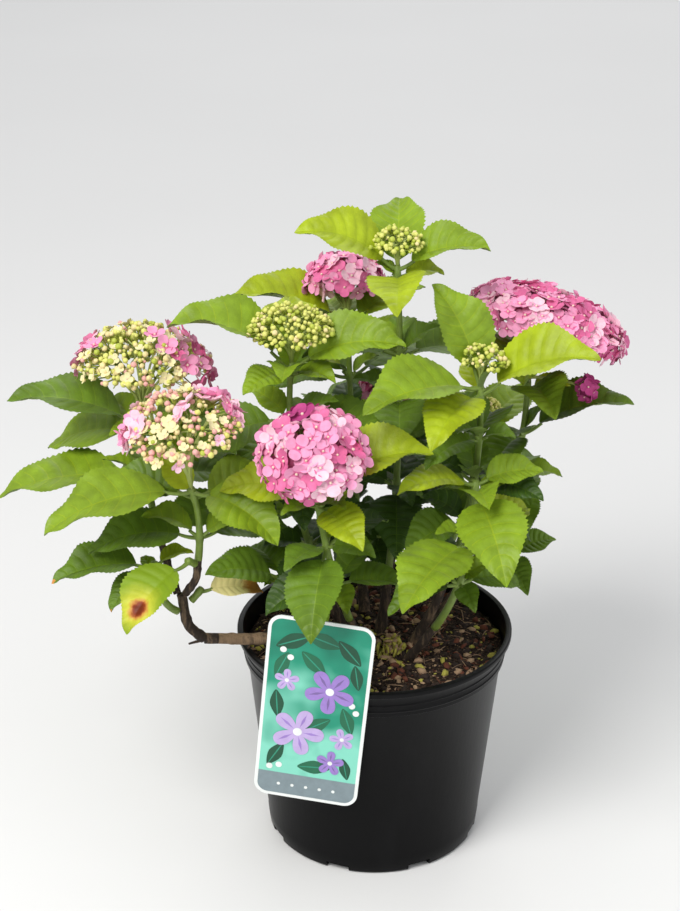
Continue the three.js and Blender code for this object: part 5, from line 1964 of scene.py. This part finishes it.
def within(dome, place, spots):
    """Whether a place on a head, seen from above, lies in one of its stated spots."""
    sideways, deep, _ = (place - dome.centre) / dome.radius
    ragged = RAGGED * noise.noise(Vector(place) / RAGGED_SCALE)
    return any(math.hypot(sideways - x, deep - y) + ragged < reach
               for x, y, reach in spots.get(dome.owner, ()))


class HYDRANGEA_OT_buds(bpy.types.Operator):
    """Fills the green and the opening heads with buds on short stalks"""

    bl_idname = "hydrangea.buds"
    bl_label = "Buds"

    def execute(self, context):
        settings = context.scene.hydrangea_blossom
        heap = Heap()
        bud = self.bud()
        twig = rod_form(*BUD_ROD)
        radius = settings.bud / MM
        for dome in plant.domes:
            if dome.kind == "pink":
                continue
            rng = np.random.default_rng(BUD_SEED + dome.seed)
            opening = dome.kind == "opening"
            weights = BUD_SHARES["warm" if dome.owner == WARM_HEAD else dome.kind]
            size = radius * (OPENING_BUDS if opening else 1)
            count = round(dome.area() / (BUD_SPACING * size) ** 2)
            roots = dome.places(max(12, count // BUDS_TO_CLUMP), ROOT_SHARE, OPEN_SPAN)[0]
            for place, normal, turn, _ in zip(*dome.places(count, 1, OPEN_SPAN)):
                if opening and within(dome, place, BLUSHES) and rng.random() < BLUSH_SHARE:
                    continue
                root = roots[np.argmin(np.linalg.norm(roots - place, axis=1))]
                clump = dome.centre + (root - dome.centre) / ROOT_SHARE
                depth = rng.uniform(*BUD_DEPTHS)
                place = lerp(place, clump, CLUMPING)
                place = dome.centre + (place - dome.centre) * depth + rng.normal(0, BUD_STRAY, 3) * size
                scale = size * rng.uniform(*BUD_SIZES)
                heap.add(bud, standing(bud, place, normal, turn, scale), int(rng.choice(4, p=weights)))
                heap.add(twig, straight(twig, root, place, *BUD_STALK), 0)
        finishes = drifts("Blossom", settings, BUD_FINISHES, 0.84, 260, 0.5, 1500, 0.2, 0.35)
        heap.piece("buds", finishes)
        return {"FINISHED"}

    @staticmethod
    def bud():
        """A round bud with a flattened, four-creased top."""
        bm = bmesh.new()
        bmesh.ops.create_icosphere(bm, subdivisions=2, radius=1)
        for vert in bm.verts:
            high = max(0, vert.co.z)
            crease = math.cos(4 * math.atan2(vert.co.y, vert.co.x)) * high
            vert.co *= 1 + BUD_CREASE * (crease - high ** 3)
        return Form(bm)


# Each light's name, place and size in metres, and colour; its power is the setting of that name
LIGHTS = [
    ("Key", (-0.9, -1.25, 1.9), 1.1, (1.0, 0.985, 0.955)),
    ("Fill", (1.7, -1.0, 1.2), 2.0, (0.96, 0.98, 1.0)),
    ("Back", (0.4, 3.6, 3.4), 3.0, (1.0, 1.0, 1.0)),
]
CROWN = (0, 0, 0.25)
SENSOR = 36
FAR = 100
FLOOR_REACH = 14
SKY = (0.98, 0.99, 1.0, 1)


class HYDRANGEA_OT_stage(bpy.types.Operator):
    """Sets the camera at the photograph's angle over a plain pale floor in soft light"""

    bl_idname = "hydrangea.stage"
    bl_label = "Stage"

    def execute(self, context):
        settings = context.scene.hydrangea_stage
        self.camera(settings)
        self.floor(settings)
        for name, place, size, colour in LIGHTS:
            self.area(name, place, size, getattr(settings, name.lower()), colour)
        world = bpy.data.worlds.new("Studio")
        world.use_nodes = True
        background = world.node_tree.nodes["Background"]
        background.inputs["Color"].default_value = SKY
        background.inputs["Strength"].default_value = settings.sky
        context.scene.world = world
        context.scene.view_settings.view_transform = "Standard"
        return {"FINISHED"}

    @staticmethod
    def camera(settings):
        data = bpy.data.cameras.new("Camera")
        data.sensor_width = SENSOR
        data.lens = settings.lens
        data.clip_end = FAR
        made = linked("Camera", data)
        made.location = settings.camera
        made.rotation_euler = (math.pi / 2 - settings.pitch, 0, 0)
        bpy.context.scene.camera = made

    @staticmethod
    def floor(settings):
        bm = bmesh.new()
        bmesh.ops.create_grid(bm, x_segments=8, y_segments=8, size=FLOOR_REACH)
        made = linked("floor", mesh_of(bm, "floor"))
        finish = Finish("Floor", 0.9, 0.2)
        base = tuple(settings.floor)
        finish.ramp(finish.pattern(1.5, 2.0), (0.3, base), (0.7, shaded(base, 1.02)))
        made.data.materials.append(finish.material)

    @staticmethod
    def area(name, place, size, power, colour):
        """A soft square light that looks at the crown."""
        data = bpy.data.lights.new(name, "AREA")
        data.shape = "SQUARE"
        data.size = size
        data.energy = power
        data.color = colour
        made = linked(name, data)
        made.location = place
        made.rotation_euler = (Vector(CROWN) - Vector(place)).to_track_quat("-Z", "Y").to_euler()


class HYDRANGEA_PT_panel(bpy.types.Panel):
    """Lists the plant's pieces and their settings"""

    bl_label = "Potted hydrangea"
    bl_idname = "HYDRANGEA_PT_panel"
    bl_space_type = "VIEW_3D"
    bl_region_type = "UI"
    bl_category = "Hydrangea"

    def draw(self, context):
        layout = self.layout
        for operator in STEPS:
            layout.operator(operator.bl_idname)
        for group_name in SETTINGS:
            group = getattr(context.scene, group_name)
            box = layout.box()
            for name in group.__annotations__:
                box.prop(group, name)


STEPS = [
    HYDRANGEA_OT_stage, HYDRANGEA_OT_pot, HYDRANGEA_OT_compost, HYDRANGEA_OT_tag, HYDRANGEA_OT_canes,
    HYDRANGEA_OT_stems, HYDRANGEA_OT_leaves, HYDRANGEA_OT_florets, HYDRANGEA_OT_buds,
]

SETTINGS = {
    "hydrangea_pot": PotSettings,
    "hydrangea_compost": CompostSettings,
    "hydrangea_tag": TagSettings,
    "hydrangea_canes": CaneSettings,
    "hydrangea_leaves": LeafSettings,
    "hydrangea_blossom": BlossomSettings,
    "hydrangea_stage": StageSettings,
}

plant = Plant()


def register():
    for group_name, group in SETTINGS.items():
        bpy.utils.register_class(group)
        setattr(bpy.types.Scene, group_name, PointerProperty(type=group))
    for operator in STEPS:
        bpy.utils.register_class(operator)
    bpy.utils.register_class(HYDRANGEA_PT_panel)


def unregister():
    bpy.utils.unregister_class(HYDRANGEA_PT_panel)
    for operator in reversed(STEPS):
        bpy.utils.unregister_class(operator)
    for group_name, group in SETTINGS.items():
        delattr(bpy.types.Scene, group_name)
        bpy.utils.unregister_class(group)


def main():
    register()
    bpy.ops.hydrangea.stage()
    bpy.ops.hydrangea.pot()
    bpy.ops.hydrangea.compost()
    bpy.ops.hydrangea.tag()
    bpy.ops.hydrangea.canes()
    bpy.ops.hydrangea.stems()
    bpy.ops.hydrangea.leaves()
    bpy.ops.hydrangea.florets()
    bpy.ops.hydrangea.buds()


if __name__ == "__main__":
    main()
